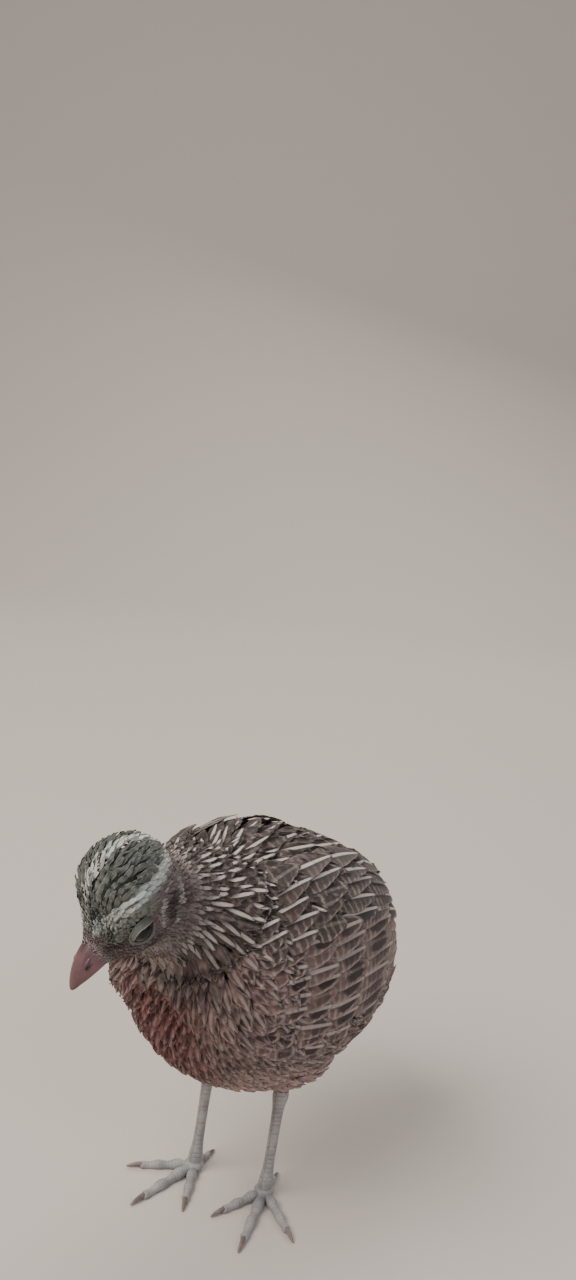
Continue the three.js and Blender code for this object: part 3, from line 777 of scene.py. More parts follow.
@dataclass(frozen=True)
class Plumage:
    """Lays the markings over the bird: mottled brown back, speckled flank, reddish breast, striped head."""

    def pattern(self, points: Array) -> Pattern:
        """The pattern at points of the coat.

        Args:
            points: Rows of x, y and z in the bird's frame.

        Returns:
            Their colours and marks.
        """
        _, side = TRUNK.where(points)
        x, y, z = points.T
        made = Pattern.plain(len(points), "4c3b36", "c6bab2", "1e1613", (1.0, 0.25, 0.75, 0.05))
        # The flank: paler, finely speckled, with pale shafts.
        made.blend(smooth(55, 85, side), "907a73", "cbbdb4", "3a2e29", (0.4, 0.3, 1.0, 0.2))
        made.blend(smooth(112, 140, side), "b4988f", "ccbab2", "78625a", (0.1, 0.15, 0.4, 0.24))
        # The rump and the under tail coverts are paler and softly barred.
        rump = smooth(24, 40, y) * smooth(80, 50, side)
        made.blend(rump, "7a695f", "c2b4a8", "3a2f29", (0.45, 0.75, 0.2, 0.2))
        # The breast: brown with pale shafts and dark spots either side, reddish in front.
        front = smooth(-14, -30, y) * smooth(92, 80, z)
        made.blend(front, "8e716a", "c1aea7", "382922", (0.28, 0.25, 1.0, 0.18))
        red = smooth(-20, -31, y) * smooth(17, 5, np.abs(x)) * smooth(78, 68, z)
        made.blend(red, "8a554f", "b3938c", "34201d", (0.3, 0.05, 0.95, 0.1))
        # A pale bib runs down from the throat; either side of it the fore neck is darkened by painted shade
        # under the head.
        # The fore neck's darker blend is painted shade under the head.
        fore_neck_shade = smooth(-26, -33, y) * smooth(68, 78, z) * smooth(95, 90, z) * smooth(20, 14, np.abs(x))
        made.blend(0.8 * fore_neck_shade, "61504b", "ab9c95", "2b201c", (0.4, 0.1, 0.8, 0.12))
        bib = fore_neck_shade * smooth(7, 3, np.abs(x - 1.0))
        made.blend(0.85 * bib, "a3948a", "c2b5ac", "6b5b53", (0.1, 0, 0.35, 0.2))
        # The hind neck continues the back's streaks, finer and greyer.
        neck = smooth(-26, -38, y) * smooth(80, 90, z)
        made.blend(neck, "544540", "b9ada5", "231a18", (0.85, 0.2, 0.8, 0.1))
        self.mark_head(made, points)
        return made

    def mark_head(self, made: Pattern, points: Array) -> None:
        """Lays the stripes of the head over a pattern, read in the head's own frame.

        Args:
            made: The pattern to change.
            points: Its points in the bird's frame.
        """
        hx, hy, hz = HEAD.read(points).T
        out = np.abs(hx)
        head = 1 - smooth(12.5, 17.5, HEAD.skull(points))
        crown = head * smooth(4.2, 5.6, hz)
        cheek = head * smooth(5.6, 4.2, hz)
        made.blend(crown, "5a5e57", "a6a79c", "252622", (0.0, 0.2, 0.35, 0.4))
        made.blend(cheek, "7b6a67", "b5a6a2", "433633", (0.15, 0.05, 0.25, 0.3))
        # The pale stripe over the eye runs from the bill's base back to the nape.
        brow_height = 6.8 - np.where(hy > -2.5, 0.015, 0.012) * (hy + 2.5) ** 2
        brow = head * smooth(1.3, 0.75, np.abs(hz - brow_height)) * smooth(0.9, 1.9, out)
        made.blend(brow * smooth(11.2, 9.8, hy), "c8ccc4", "dddfd7", "80827a", (0, 0, 0, 0.3))
        # Grey-green down lies between that stripe and the eye.
        lid = head * smooth(1.6, 2.6, hz) * smooth(1.2, 0.2, hz + 1.2 - brow_height) * smooth(3, 5, out)
        made.blend(0.9 * lid * smooth(-8, -5, hy), "878a80", "a8aba0", "585b53", (0, 0, 0.1, 0.2))
        # A narrow pale stripe parts the crown.
        middle = head * smooth(1.1, 0.45, out) * smooth(4, 7, hz)
        made.blend(middle, "c6c9bf", "d6d8cf", "5c5d56", (0, 0, 0, 0.3))
        # A dark line joins the bill and the eye.
        lore = head * smooth(1.1, 0.5, np.abs(hz - 1.6 + 0.12 * (hy - 3))) * smooth(2.5, 3.6, hy)
        made.blend(0.8 * lore, "4a3d36", "8d8075", "2c231f", (0, 0, 0, 0.2))
        # The dark ear patch stands aslant behind the eye, between a pale line and a pale crescent.
        short = ((hy + 8.0) + (hz + 1.2)) / math.sqrt(2)
        long = ((hy + 8.0) - (hz + 1.2)) / math.sqrt(2)
        cheeks = head * smooth(4, 6, out)
        ear = cheeks * smooth(1.9, 1.1, np.hypot(short, long / 2.2))
        made.blend(0.95 * ear, "3c322c", "80746a", "201916", (0, 0.1, 0.1, 0.2))
        for place, bow, strength in ((-3.3, -0.06, 0.95), (2.7, 0.06, 0.6)):
            line = cheeks * smooth(0.95, 0.45, np.abs(short - place + bow * long**2))
            line = strength * line * smooth(6, 4.5, np.abs(long))
            made.blend(line, "bdb7af", "d2cdc6", "6e6962", (0, 0, 0, 0.3))
        # Pale down stands round the bill's base.
        base = head * smooth(7.4, 9.4, hy)
        made.blend(0.8 * base, "b3a9a2", "cfc8c2", "7a6f69", (0, 0, 0, 0.2))
        # The throat is pale, edged by a dark line from the corner of the mouth.
        throat = head * smooth(-5.8, -7.4, hz) * smooth(7, 3, out)
        made.blend(throat, "a59790", "c6bcb6", "72645e", (0, 0, 0.1, 0.3))
        moustache = head * smooth(1.0, 0.4, np.abs(hz + 4.4 - 0.1 * (hy - 2))) * smooth(3, 4.5, out)
        made.blend(0.7 * moustache, "57473e", "8d8075", "2f2520", (0, 0, 0, 0.2))


PLUMAGE = Plumage()


# Feathers


@dataclass
class Vanes:
    """Many feathers as closed vanes: a grid of points on top and one under it that share their rim."""

    rows: int
    columns: int

    def faces(self, count: int) -> Array:
        """Quads of a number of vanes, wound outwards for a grid whose normals point up.

        Args:
            count: How many vanes.

        Returns:
            Rows of four indices.
        """
        rows, columns = self.rows, self.columns
        top = np.arange(rows * columns).reshape(rows, columns)
        under = top.copy()
        inner = np.arange((rows - 2) * (columns - 2)).reshape(rows - 2, columns - 2)
        under[1:-1, 1:-1] = rows * columns + inner
        one = np.concatenate([grid_faces(top), grid_faces(under)[:, ::-1]])
        step = rows * columns + (rows - 2) * (columns - 2)
        return (one[None] + step * np.arange(count)[:, None, None]).reshape(-1, 4)

    @staticmethod
    def both(top: Array, under: Array) -> Array:
        """Values for every point of the vanes: the top's all, and the under side's inner ones.

        Args:
            top: Values of the top grids, of shape (count, rows, columns, width).
            under: The same for the under side.

        Returns:
            One row of values for each point, of shape (count, points, width).
        """
        count, width = len(top), top.shape[-1]
        inner = under[:, 1:-1, 1:-1].reshape(count, -1, width)
        return np.concatenate([top.reshape(count, -1, width), inner], 1)

    def shares(self) -> tuple[Array, Array]:
        """Shares along each vane, 0 to 1, and across it, -1 to 1, as grids that broadcast over vanes."""
        along = np.linspace(0, 1, self.rows) ** 0.92
        across = np.sin(np.linspace(-math.pi / 2, math.pi / 2, self.columns))
        return along[None, :, None], across[None, None, :]


def rounded(along: Array, across: Array, roundness: float) -> Array:
    """The share along a vane once its tip is rounded: outer columns end sooner, by their share squared."""
    return along * (1 - roundness * along**1.5 * np.abs(across) ** 2.2)


def vane_width(along: Array, narrow: float, broadest: float, tip: float) -> Array:
    """The share of the half width: it swells from narrow to 1 at the broadest place, and eases to tip."""
    swelling = narrow + (1 - narrow) * smooth(0, broadest, along)
    return swelling * (1 - (1 - tip) * smooth(broadest, 1.0, along) ** 1.5)


def vane_group(
    vanes: Vanes, top: Array, under: Array, pattern: Pattern, sizes: Array, bake: Array
) -> Group:
    """The arrays of many vanes, ready to be joined into one piece.

    Args:
        vanes: The grid.
        top: Points of the top grids, of shape (count, rows, columns, 3).
        under: What is added to the top's inner points to give the under side, of the same shape.
        pattern: One row of marks for each vane.
        sizes: Rows of half width, length and a random share.
        bake: Rows of each root's place on the map for baking.

    Returns:
        Points, faces, the two maps, and the pattern's and sizes' values by point.
    """
    count = len(top)
    points = vanes.both(top, top + under)
    along, across = vanes.shares()
    grid = np.stack(np.broadcast_arrays((across + 1) / 2, along), -1)
    grids = np.broadcast_to(grid, (count, *grid.shape[1:]))
    vane_map = vanes.both(grids, grids)
    values = {
        "ground": with_alpha(pattern.ground),
        "light": with_alpha(pattern.light),
        "dark": with_alpha(pattern.dark),
        "marks": pattern.marks,
        "size": sizes,
    }
    return {
        "points": points.reshape(-1, 3),
        "faces": vanes.faces(count),
        "Vane": vane_map.reshape(-1, 2),
        "OFBake": (bake[:, None] + (vane_map - 0.5) * BAKE_PATCH).reshape(-1, 2),
        **{key: np.repeat(rows, points.shape[1], 0) for key, rows in values.items()},
    }


def feather_piece(
    name: str, groups: list[Group], material: Material
) -> Object:
    """Joins groups of vanes into one object, with their maps and attributes.

    Args:
        name: The piece's name.
        groups: What vane_group gave.
        material: The feathers' finish.

    Returns:
        The piece.
    """
    points, faces = joined([(group["points"], [group["faces"]]) for group in groups])
    made = write_mesh(name, points, faces, material)
    mesh = made.data
    vertex = np.empty(len(mesh.loops), np.int32)
    mesh.loops.foreach_get("vertex_index", vertex)
    for key in ("OFBake", "Vane"):
        values = np.concatenate([group[key] for group in groups])
        layer = mesh.uv_layers.new(name=key)
        layer.uv.foreach_set("vector", values[vertex].astype(np.float32).ravel())
    for key in ("ground", "light", "dark", "marks", "size"):
        kind = "FLOAT_VECTOR" if key == "size" else "FLOAT_COLOR"
        give(mesh, key, np.concatenate([group[key] for group in groups]), kind)
    return made


@dataclass
class Skin:
    """The bird's flesh under its coat: trunk, neck, head and thighs as one closed skin."""

    trunk_depth: float = 2.3
    neck_depth: float = 1.9
    head_depth: float = 1.0
    thigh_depth: float = 0.9
    voxel: float = 0.85
    neck_stations: tuple = (
        ((0, -12, 77), 20, 19), ((0, -24, 86), 18.5, 17), ((0.5, -34, 91.5), 14.8, 14),
        ((1.4, -42, 95), 11.8, 12), ((2, -48, 97), 9, 9.5),
    )
    thigh_stations: tuple = ((3, -3.5, 50, 9), (2.5, -2, 44.5, 8), (1.2, -0.3, 40.5, 5), (0, 1.2, 35, 2.2))
    socket: float = 2.9  # the eye socket's half width
    ease: int = 14  # how often the fused skin is smoothed

    def neck(self) -> Surface:
        """The neck as a tube along its bent middle, each ring square to it.

        Returns:
            Points and faces.
        """
        place = np.linspace(0, 1, 24)
        middle = curve_at([row[0] for row in self.neck_stations], place)
        half, rise = curve_at([row[1:] for row in self.neck_stations], place).T
        along = unit(np.gradient(middle, axis=0))
        side = unit(np.cross(along, [0, 0, 1.0]))
        across = side * (half - self.neck_depth)[:, None]
        return swept(middle, across, np.cross(side, along) * (rise - self.neck_depth)[:, None], 40)

    def thigh(self, side: int) -> Surface:
        """A thigh as a tube that narrows to the heel.

        Args:
            side: LEFT or RIGHT.

        Returns:
            Points and faces.
        """
        out, back, z, radius = curve_at(self.thigh_stations, np.linspace(0, 1, 18)).T
        centres = xyz(side * (LEG.side + out), LEG.foot_y[side] + back, z)
        radius = np.maximum(radius - self.thigh_depth, 1.2)[:, None]
        return swept(centres, radius * X, radius * Y, 28)

    def build(self, material: Material) -> Object:
        """Builds the skin: the parts are joined, fused by a fine voxel grid, and smoothed.

        Args:
            material: The down's finish.

        Returns:
            The skin.
        """
        trunk = lofted(TRUNK.stations, 60, 72, -self.trunk_depth)
        head_points, head_faces = lofted(HEAD.stations, 40, 48, -self.head_depth)
        head = (HEAD.place(head_points), head_faces)
        points, faces = joined([trunk, self.neck(), head, self.thigh(LEFT), self.thigh(RIGHT)])
        rough = write_mesh("skin_rough", points, faces)
        fuse = rough.modifiers.new("fuse", "REMESH")
        fuse.mode = "VOXEL"
        fuse.voxel_size = self.voxel * MM
        ease = rough.modifiers.new("ease", "SMOOTH")
        ease.factor, ease.iterations = 0.5, self.ease
        fused = bpy.data.meshes.new_from_object(rough.evaluated_get(bpy.context.evaluated_depsgraph_get()))
        bpy.data.objects.remove(rough)
        fused.name = "skin"
        made = bpy.data.objects.new("skin", fused)
        bpy.context.scene.collection.objects.link(made)
        self.open_eyes(fused)
        self.colour(fused)
        fused.materials.clear()
        fused.materials.append(material)
        fused.polygons.foreach_set("use_smooth", np.ones(len(fused.polygons), bool))
        settle(made, Slot.BODY, "torso", "neck", "head", "thigh_left", "thigh_right")
        return made

    @staticmethod
    def points_of(mesh: Mesh) -> Array:
        """Reads a mesh's points.

        Args:
            mesh: The mesh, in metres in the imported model's frame.

        Returns:
            Rows of x, y and z in millimetres in the bird's frame.
        """
        found = np.empty(len(mesh.vertices) * 3, np.float32)
        mesh.vertices.foreach_get("co", found)
        return found.reshape(-1, 3) / MM + PLACING.shift

    def open_eyes(self, mesh: Mesh) -> None:
        """Draws the skin near each eye inside the eyeball, so that the ball stands in an open socket.

        Args:
            mesh: The skin, which is changed.
        """
        points = HEAD.read(self.points_of(mesh))
        for side in (LEFT, RIGHT):
            centre = HEAD.eye(side)
            out = np.sign(centre[0])
            from_eye = points - centre
            far = np.linalg.norm(from_eye, axis=1)
            beside = np.hypot(from_eye[:, 1], from_eye[:, 2])
            outer = (from_eye[:, 0] * out > -1.2) & (beside < self.socket)
            moved = centre + from_eye * ((HEAD.eye_radius - 0.55) / np.maximum(far, 0.1))[:, None]
            points[outer] = moved[outer]
            # Round the socket the skin stands up to meet the lids, and falls away outwards.
            mound = HEAD.eye_side + 1.5 - 0.62 * np.maximum(beside - 2.95, 0)
            rim = (beside >= self.socket) & (beside < 5.6) & (points[:, 0] * out > 2) & ~outer
            points[rim, 0] = out * np.maximum(points[rim, 0] * out, mound[rim])
        mesh.vertices.foreach_set("co", PLACING.metres(HEAD.place(points)).astype(np.float32).ravel())
        mesh.update()

    def colour(self, mesh: Mesh) -> None:
        """Gives the skin the coat's own ground and dark colours.

        Args:
            mesh: The skin.
        """
        pattern = PLUMAGE.pattern(self.points_of(mesh))
        give(mesh, "ground", with_alpha(pattern.ground))
        give(mesh, "dark", with_alpha(pattern.dark))


@dataclass
class Rooting:
    """Feather roots in rows over the skin: where they stand and which way the feathers lie."""

    roots: Array
    ways: Array
    shares: Array  # place along the axis and angle round it, both 0 to 1
    row: Array
    line: Array  # 1 on a pale line of the back, 0 between two, -1 elsewhere

    def take(self, index: Array) -> Rooting:
        """The roots at some indices, or where a mask is true."""
        return Rooting(*(values[index] for values in vars(self).values()))


@dataclass
class Rows:
    """Finds roots where rays cast square to an axis through the body meet the skin."""

    axis: tuple
    step: float = 0.5
    rays: int = 180
    capped: bool = False

    def samples(self) -> tuple[Array, Array]:
        """Takes samples every step along a smooth curve through the axis.

        Returns:
            Points and tangents.
        """
        fine = curve_at(self.axis, np.linspace(0, 1, 900))
        length = np.concatenate([[0], np.cumsum(np.linalg.norm(np.diff(fine, axis=0), axis=1))])
        wanted = np.arange(0, length[-1], self.step)
        middle = np.stack([np.interp(wanted, length, fine[:, i]) for i in range(3)], -1)
        return middle, unit(np.gradient(middle, axis=0))

    def cast(self, tree: BVHTree) -> Rooting:
        """Casts the rays, row by row from the tail forward.

        Args:
            tree: The skin's faces, in millimetres in the bird's frame.

        Returns:
            Every hit, with the way a feather there lies: back along the axis, over the surface.
        """
        middle, tangent = self.samples()
        side = unit(np.cross(tangent, [0, 0, 1.0]))
        up = np.cross(side, tangent)
        roots, ways, shares, rows = [], [], [], []
        lean = [0.0] * len(middle)
        order = list(range(len(middle)))
        if self.capped:
            caps = np.radians(np.arange(84, 0, -4.0))
            lean, order = [*caps, *lean], [0] * len(caps) + order
        angle = FULL_TURN * (np.arange(self.rays) / self.rays) - math.pi
        for row, (index, tilt) in enumerate(zip(order, lean)):
            radial = np.sin(angle)[:, None] * side[index] * -1 + np.cos(angle)[:, None] * up[index]
            rays = radial * math.cos(tilt) - tangent[index] * math.sin(tilt)
            origin = Vector(middle[index])
            back = -tangent[index]
            for turn, ray in zip(angle, rays):
                hit, normal, _, _ = tree.ray_cast(origin, Vector(ray))
                if hit is None:
                    continue
                n = np.array(normal)
                way = back - n * (back @ n)
                if np.linalg.norm(way) < 0.05:
                    continue
                roots.append(hit)
                ways.append(way)
                shares.append((row / len(order), turn / FULL_TURN + 0.5))
                rows.append(row)
        unlined = np.full(len(rows), -1.0)
        return Rooting(np.array(roots), unit(np.array(ways)), np.array(shares), np.array(rows), unlined)


def thinned(points: Array, spacing: Array) -> Array:
    """Keeps points in their order, each at least its spacing from those kept before it.

    Args:
        points: Rows of x, y and z.
        spacing: The least distance for each point.

    Returns:
        The indices kept.
    """
    cell = float(spacing.max())
    keys = np.floor(points / cell).astype(int)
    near: dict[tuple, list[tuple]] = {}
    kept: list[int] = []
    around = [(i, j, k) for i in (-1, 0, 1) for j in (-1, 0, 1) for k in (-1, 0, 1)]
    for index, ((a, b, c), (x, y, z), least) in enumerate(zip(keys.tolist(), points.tolist(), spacing**2)):
        if not any(
            (x - u) ** 2 + (y - v) ** 2 + (z - w) ** 2 < least
            for i, j, k in around
            for u, v, w in near.get((a + i, b + j, c + k), ())
        ):
            near.setdefault((a, b, c), []).append((x, y, z))
            kept.append(index)
    return np.array(kept)


class Tract(Enum):
    """The feather tracts of the coat, each a piece of its own, the thighs' last."""

    FACE = "coat_face"
    CROWN = "coat_crown"
    NECK = "coat_neck"
    BREAST = "coat_breast"
    BACK = "coat_back"
    FLANK = "coat_flanks"
    BELLY = "coat_belly"
    THIGH = "coat_thighs"


def cubic_weights(t: Array) -> Array:
    """Weighs knots at 0, 1/3, 2/3 and 1 in the cubic that runs through them.

    Args:
        t: Where to read.

    Returns:
        Rows of four weights.
    """
    columns = (
        -4.5 * (t - 1 / 3) * (t - 2 / 3) * (t - 1),
        13.5 * t * (t - 2 / 3) * (t - 1),
        -13.5 * t * (t - 1 / 3) * (t - 1),
        4.5 * t * (t - 1 / 3) * (t - 2 / 3),
    )
    return np.stack(columns, -1)


@dataclass
class Coat:
    """Thin, overlapping feathers over the skin, smallest on the face and longest on back and flank."""

    seed: int = 4107
    spacing: float = 0.3  # between roots, as a share of a feather's length
    axis: tuple = (
        (0, 42, 64), (0, 33, 66), (0, 22, 67), (0, 11, 68), (0, 0, 69), (0, -10, 70.5),
        (0, -19, 75), (0.2, -27, 82), (0.7, -34.5, 88.5), (1.4, -41.5, 93.5), (1.9, -48, 96.2),
    )
    face: tuple = ((0, 0.5, 0.6), (0, 5.5, 0.3), (0, 12.4, -0.2))  # the axis goes on in the head's frame
    column: float = 8.0  # degrees from one pale line of the back to the next
    lines_to: float = 66.0  # how far down the sides the lines reach, in degrees
    open_share: float = 0.5  # how much of its length a feather spans at least, or it folds and is left out
    sunk: float = -0.35  # how high a feather's root stands over the skin
    thin_root: float = 0.16
    thin_tip: float = 0.07

    def sizes(self, points: Array) -> Array:
        """The feather rooted at each point, blended between tracts.

        Args:
            points: Rows of x, y and z.

        Returns:
            Rows of length, half width, tip lift and distance to the next root, in millimetres.
        """
        _, side = TRUNK.where(points)
        _, y, z = points.T
        hx, hy, hz = HEAD.read(points).T
        head = 1 - smooth(12, 20, HEAD.skull(points))
        from_eye = np.sqrt((hy / 1.05) ** 2 + ((hz - 1) / 0.95) ** 2)
        by_eye = head * smooth(6.0, 3.6, from_eye) * smooth(2, 4, np.abs(hx))
        made = np.tile([12.8, 2.4, 2.2, 4.6], (len(points), 1))
        for mask, length, half, lift, apart in (
            (smooth(50, 80, side), 9.5, 2.3, 2.3, None),  # flanks
            (smooth(110, 130, side), 7.2, 1.9, 2.0, None),  # belly
            (smooth(-8, -24, y), 6.8, 1.7, 2.0, None),  # breast
            (smooth(-26, -37, y) * smooth(78, 90, z), 6.8, 1.4, 1.6, 2.5),  # hind neck
            (head, 2.8, 0.6, 0.8, None),  # back of the head
            (head * smooth(-2, 6, hy), 1.95, 0.46, 0.58, None),  # forehead and cheeks
            (head * smooth(5.5, 9, hy), 1.35, 0.36, 0.32, None),  # round the bill
            (by_eye, 1.35, 0.4, 0.35, None),  # round the eye
        ):
            there = np.array([length, half, lift, apart or length * self.spacing])
            made = made * (1 - mask[:, None]) + there * mask[:, None]
        return made

    @staticmethod
    def loft(points: Array) -> Array:
        """How far the coat is raised whole: up to the folded wing's edges, on the crown, and over the vent.

        Args:
            points: Rows of x, y and z.

        Returns:
            Heights in millimetres.
        """
        place, side = TRUNK.where(points)
        x, y, z = points.T
        neck = smooth(-22, -32, y) * smooth(84, 92, z) * smooth(16, 9, np.abs(x))
        wing = smooth(8, 34, side) * smooth(134, 108, side) * smooth(0.02, 0.2, place)
        wing = wing * smooth(0.98, 0.84, place) * (1 - neck)
        vent = smooth(100, 135, side) * smooth(0.1, 0.25, place) * smooth(0.7, 0.5, place)
        _, hy, hz = HEAD.read(points).T
        far = HEAD.skull(points)
        head = 1 - smooth(12.5, 17, far)
        raised = 0.8 + 3.2 * smooth(6, -3, hy) * smooth(-21, -6, hy)
        crown = smooth(24, 13, far) * smooth(2.5, 9, hz) * raised
        return (3.0 * wing + 2.6 * vent) * (1 - head) + crown

    def tract(self, points: Array) -> Array:
        """Finds the tract of each root by where it lies.

        Args:
            points: Rows of x, y and z.

        Returns:
            A member of Tract for each.
        """
        _, side = TRUNK.where(points)
        _, y, z = points.T
        head = HEAD.skull(points) < 15.5
        found = np.full(len(points), Tract.BACK, object)
        for name, mask in (
            (Tract.FLANK, side > 50),
            (Tract.BELLY, side > 118),
            (Tract.BREAST, y < -18),
            (Tract.NECK, (y < -20) & (z > 80)),
            (Tract.FACE, head),
            (Tract.CROWN, head & (HEAD.read(points)[:, 2] > 4)),
        ):
            found[mask] = name
        return found

    @staticmethod
    def hidden(points: Array) -> Array:
        """Finds where no feather grows: in the eye's opening, on the bill, and deep under the folded wing.

        Args:
            points: Rows of x, y and z.

        Returns:
            True where none grows.
        """
        place, side = TRUNK.where(points)
        under_wing = (place > 0.26) & (place < 0.7) & (side > 42) & (side < 100)
        hx, hy, hz = HEAD.read(points).T
        near = (np.abs(hx) < 12) & (np.abs(hz) < 12)
        eye = (np.hypot(np.where(hy > 0, hy / 1.12, hy), (hz - 1) / 0.88) < 3.1) & (np.abs(hx) > 2.5)
        return under_wing | near & (eye | (hy > 11.7))

    def lined(self, body: Rooting) -> Array:
        """Finds the roots that stand in lines along the back and hind neck, whose shaft streaks join up.

        Rows of feathers follow one another by the spacing at the ridge; columns stand at even angles, and
        every second row stands between them.

        Args:
            body: Every root found.

        Returns:
            1 on a line, 0 between two lines, -1 elsewhere.
        """
        degrees = 360 * body.shares[:, 1] - 180
        ridge = np.abs(degrees) < 0.5
        points, rows = body.roots[ridge], body.row[ridge]
        steps = np.linalg.norm(np.diff(points, axis=0), axis=1) / self.sizes(points)[1:, 3]
        passed = np.floor(np.concatenate([[0], np.cumsum(steps)])).astype(int)
        first = np.concatenate([[True], np.diff(passed) > 0])
        numbers = dict(zip(rows[first].tolist(), passed[first].tolist()))
        number = np.array([numbers.get(row, -1) for row in body.row.tolist()])
        column = degrees / self.column + 0.5 * (number % 2)
        found = (number >= 0) & (np.abs(degrees) < self.lines_to)
        found &= np.abs(column - np.round(column)) < 0.05
        tract = self.tract(body.roots)
        found &= (tract == Tract.BACK) | (tract == Tract.NECK)
        return np.where(found, 1.0 - number % 2, -1.0)

    @staticmethod
    def follow(
        rooting: Rooting, tree: BVHTree, length: Array, turned: Array
    ) -> tuple[Array, Array]:
        """Walks from each root over the skin in three steps of a third of the feather's length.

        Args:
            rooting: Where the feathers stand, and which way each sets out.
            tree: The skin's faces.
            length: How long each feather is.
            turned: How far each is turned from its way, as a tangent.

        Returns:
            Four knots on the skin for each feather, and the skin's normals there.
        """
        knots, normals = [rooting.roots], []
        ways = rooting.ways
        for leg in range(4):
            found = [tree.find_nearest(Vector(p)) for p in knots[-1]]
            on = np.array([f[0] for f in found])
            n = np.array([f[1] for f in found])
            knots[-1] = on
            normals.append(n)
            if leg < 3:
                ways = unit(ways - n * np.einsum("ij,ij->i", ways, n)[:, None])
                if leg == 0:
                    ways = unit(ways + np.cross(n, ways) * turned[:, None])
                knots.append(on + ways * (length / 3)[:, None])
        return np.stack(knots, 1), unit(np.stack(normals, 1))

    def grow(
        self, rooting: Rooting, tree: BVHTree, rng: Chance, vanes: Vanes
    ) -> Group:
        """Makes the feathers of one group of roots, each lying along the skin and rising to its tip.

        Args:
            rooting: Where they stand.
            tree: The skin's faces.
            rng: Where differences come from.
            vanes: The grid.

        Returns:
            The group's arrays, for feather_piece.
        """
        count = len(rooting.roots)
        sizes = self.sizes(rooting.roots)
        length = sizes[:, 0] * rng.uniform(0.88, 1.14, count)
        half = sizes[:, 1] * rng.uniform(0.9, 1.1, count)
        lift = sizes[:, 2] * rng.uniform(0.78, 1.12, count)
        knots, normals = self.follow(rooting, tree, length, rng.normal(0, 0.09, count))
        # A feather that would fold round an edge of the skin is left out.
        kept = np.linalg.norm(knots[:, 3] - knots[:, 0], axis=1) > self.open_share * length
        knots, normals, rooting = knots[kept], normals[kept], rooting.take(kept)
        length, half, lift, count = length[kept], half[kept], lift[kept], int(kept.sum())
        along, across = vanes.shares()
        weights = cubic_weights(along[0, :, 0])
        centre = np.einsum("rk,nkc->nrc", weights, knots)
        normal = unit(np.einsum("rk,nkc->nrc", weights, normals))
        raised = self.loft(knots.reshape(-1, 3)).reshape(count, 4)
        centre = centre + normal * np.einsum("rk,nk->nr", weights, raised)[..., None]
        slope = unit(np.gradient(centre, axis=1))
        side = unit(np.cross(normal, slope))
        ragged = rng.normal(0, 0.07, (count, 1, vanes.columns)) * along**3
        reach = rounded(along, across, 0.3) - along + ragged
        wide = each(half) * vane_width(along, 0.5, 0.55, 0.62) * across
        tilt = each(rng.normal(0, 0.1, count))
        height = (
            (each(lift) - self.sunk) * along**1.25
            + self.sunk
            - 0.16 * each(half) * across**2 * (0.4 + 0.6 * along)  # bent down to the edges
            + tilt * across * along
            + 0.1 * np.exp(-((across / 0.16) ** 2)) * (1 - along)  # the shaft's ridge
        )
        top = (
            centre[:, :, None]
            + slope[:, :, None] * (reach * each(length))[..., None]
            + side[:, :, None] * wide[..., None]
            + normal[:, :, None] * height[..., None]
        )
        thick = (self.thin_root + (self.thin_tip - self.thin_root) * along) * (1 - 0.6 * across**2)
        under = -normal[:, :, None] * np.broadcast_to(thick, top.shape[:3])[..., None]
        pattern = PLUMAGE.pattern(knots[:, 2])
        in_line = rooting.line >= 0
        streak = (pattern.marks[:, 0] * rooting.line)[in_line]
        pattern.vary(rng, 0.13)
        pattern.marks[in_line, 0] = streak
        feather = xyz(half, length, rng.random(count))
        return vane_group(vanes, top, under, pattern, feather, 0.02 + 0.96 * rooting.shares)

    def build(self, skin: Object, material: Material) -> None:
        """Builds every tract.

        Args:
            skin: The skin the feathers stand on.
            material: Their finish.
        """
        rng = np.random.default_rng(self.seed)
        points = Skin.points_of(skin.data)
        tree = BVHTree.FromPolygons(points.tolist(), [tuple(p.vertices) for p in skin.data.polygons])
        body = Rows((*self.axis, *map(tuple, HEAD.place(self.face))), capped=True).cast(tree)
        body.line = self.lined(body)
        body = body.take(~self.hidden(body.roots))
        body = body.take(np.argsort(body.line < 0, kind="stable"))
        least = self.sizes(body.roots)[:, 3] * np.where(body.line < 0, 1.0, 0.55)
        body = body.take(thinned(body.roots, least))
        tract = self.tract(body.roots)
        grids = {Tract.FACE: Vanes(5, 5), Tract.CROWN: Vanes(6, 5)}
        grids |= {Tract.NECK: Vanes(8, 5), Tract.BREAST: Vanes(8, 7)}
        for name in list(Tract)[:-1]:
            mine = tract == name
            group = self.grow(body.take(mine), tree, rng, grids.get(name, Vanes(9, 7)))
            settle(feather_piece(name.value, [group], material), Slot.BODY)
            LOG.info("%s: %d feathers", name.value, mine.sum())
        thigh = ThighCoat()
        groups = [thigh.leg(side, tree, rng) for side in (LEFT, RIGHT)]
        settle(feather_piece(Tract.THIGH.value, groups, material), Slot.BODY)


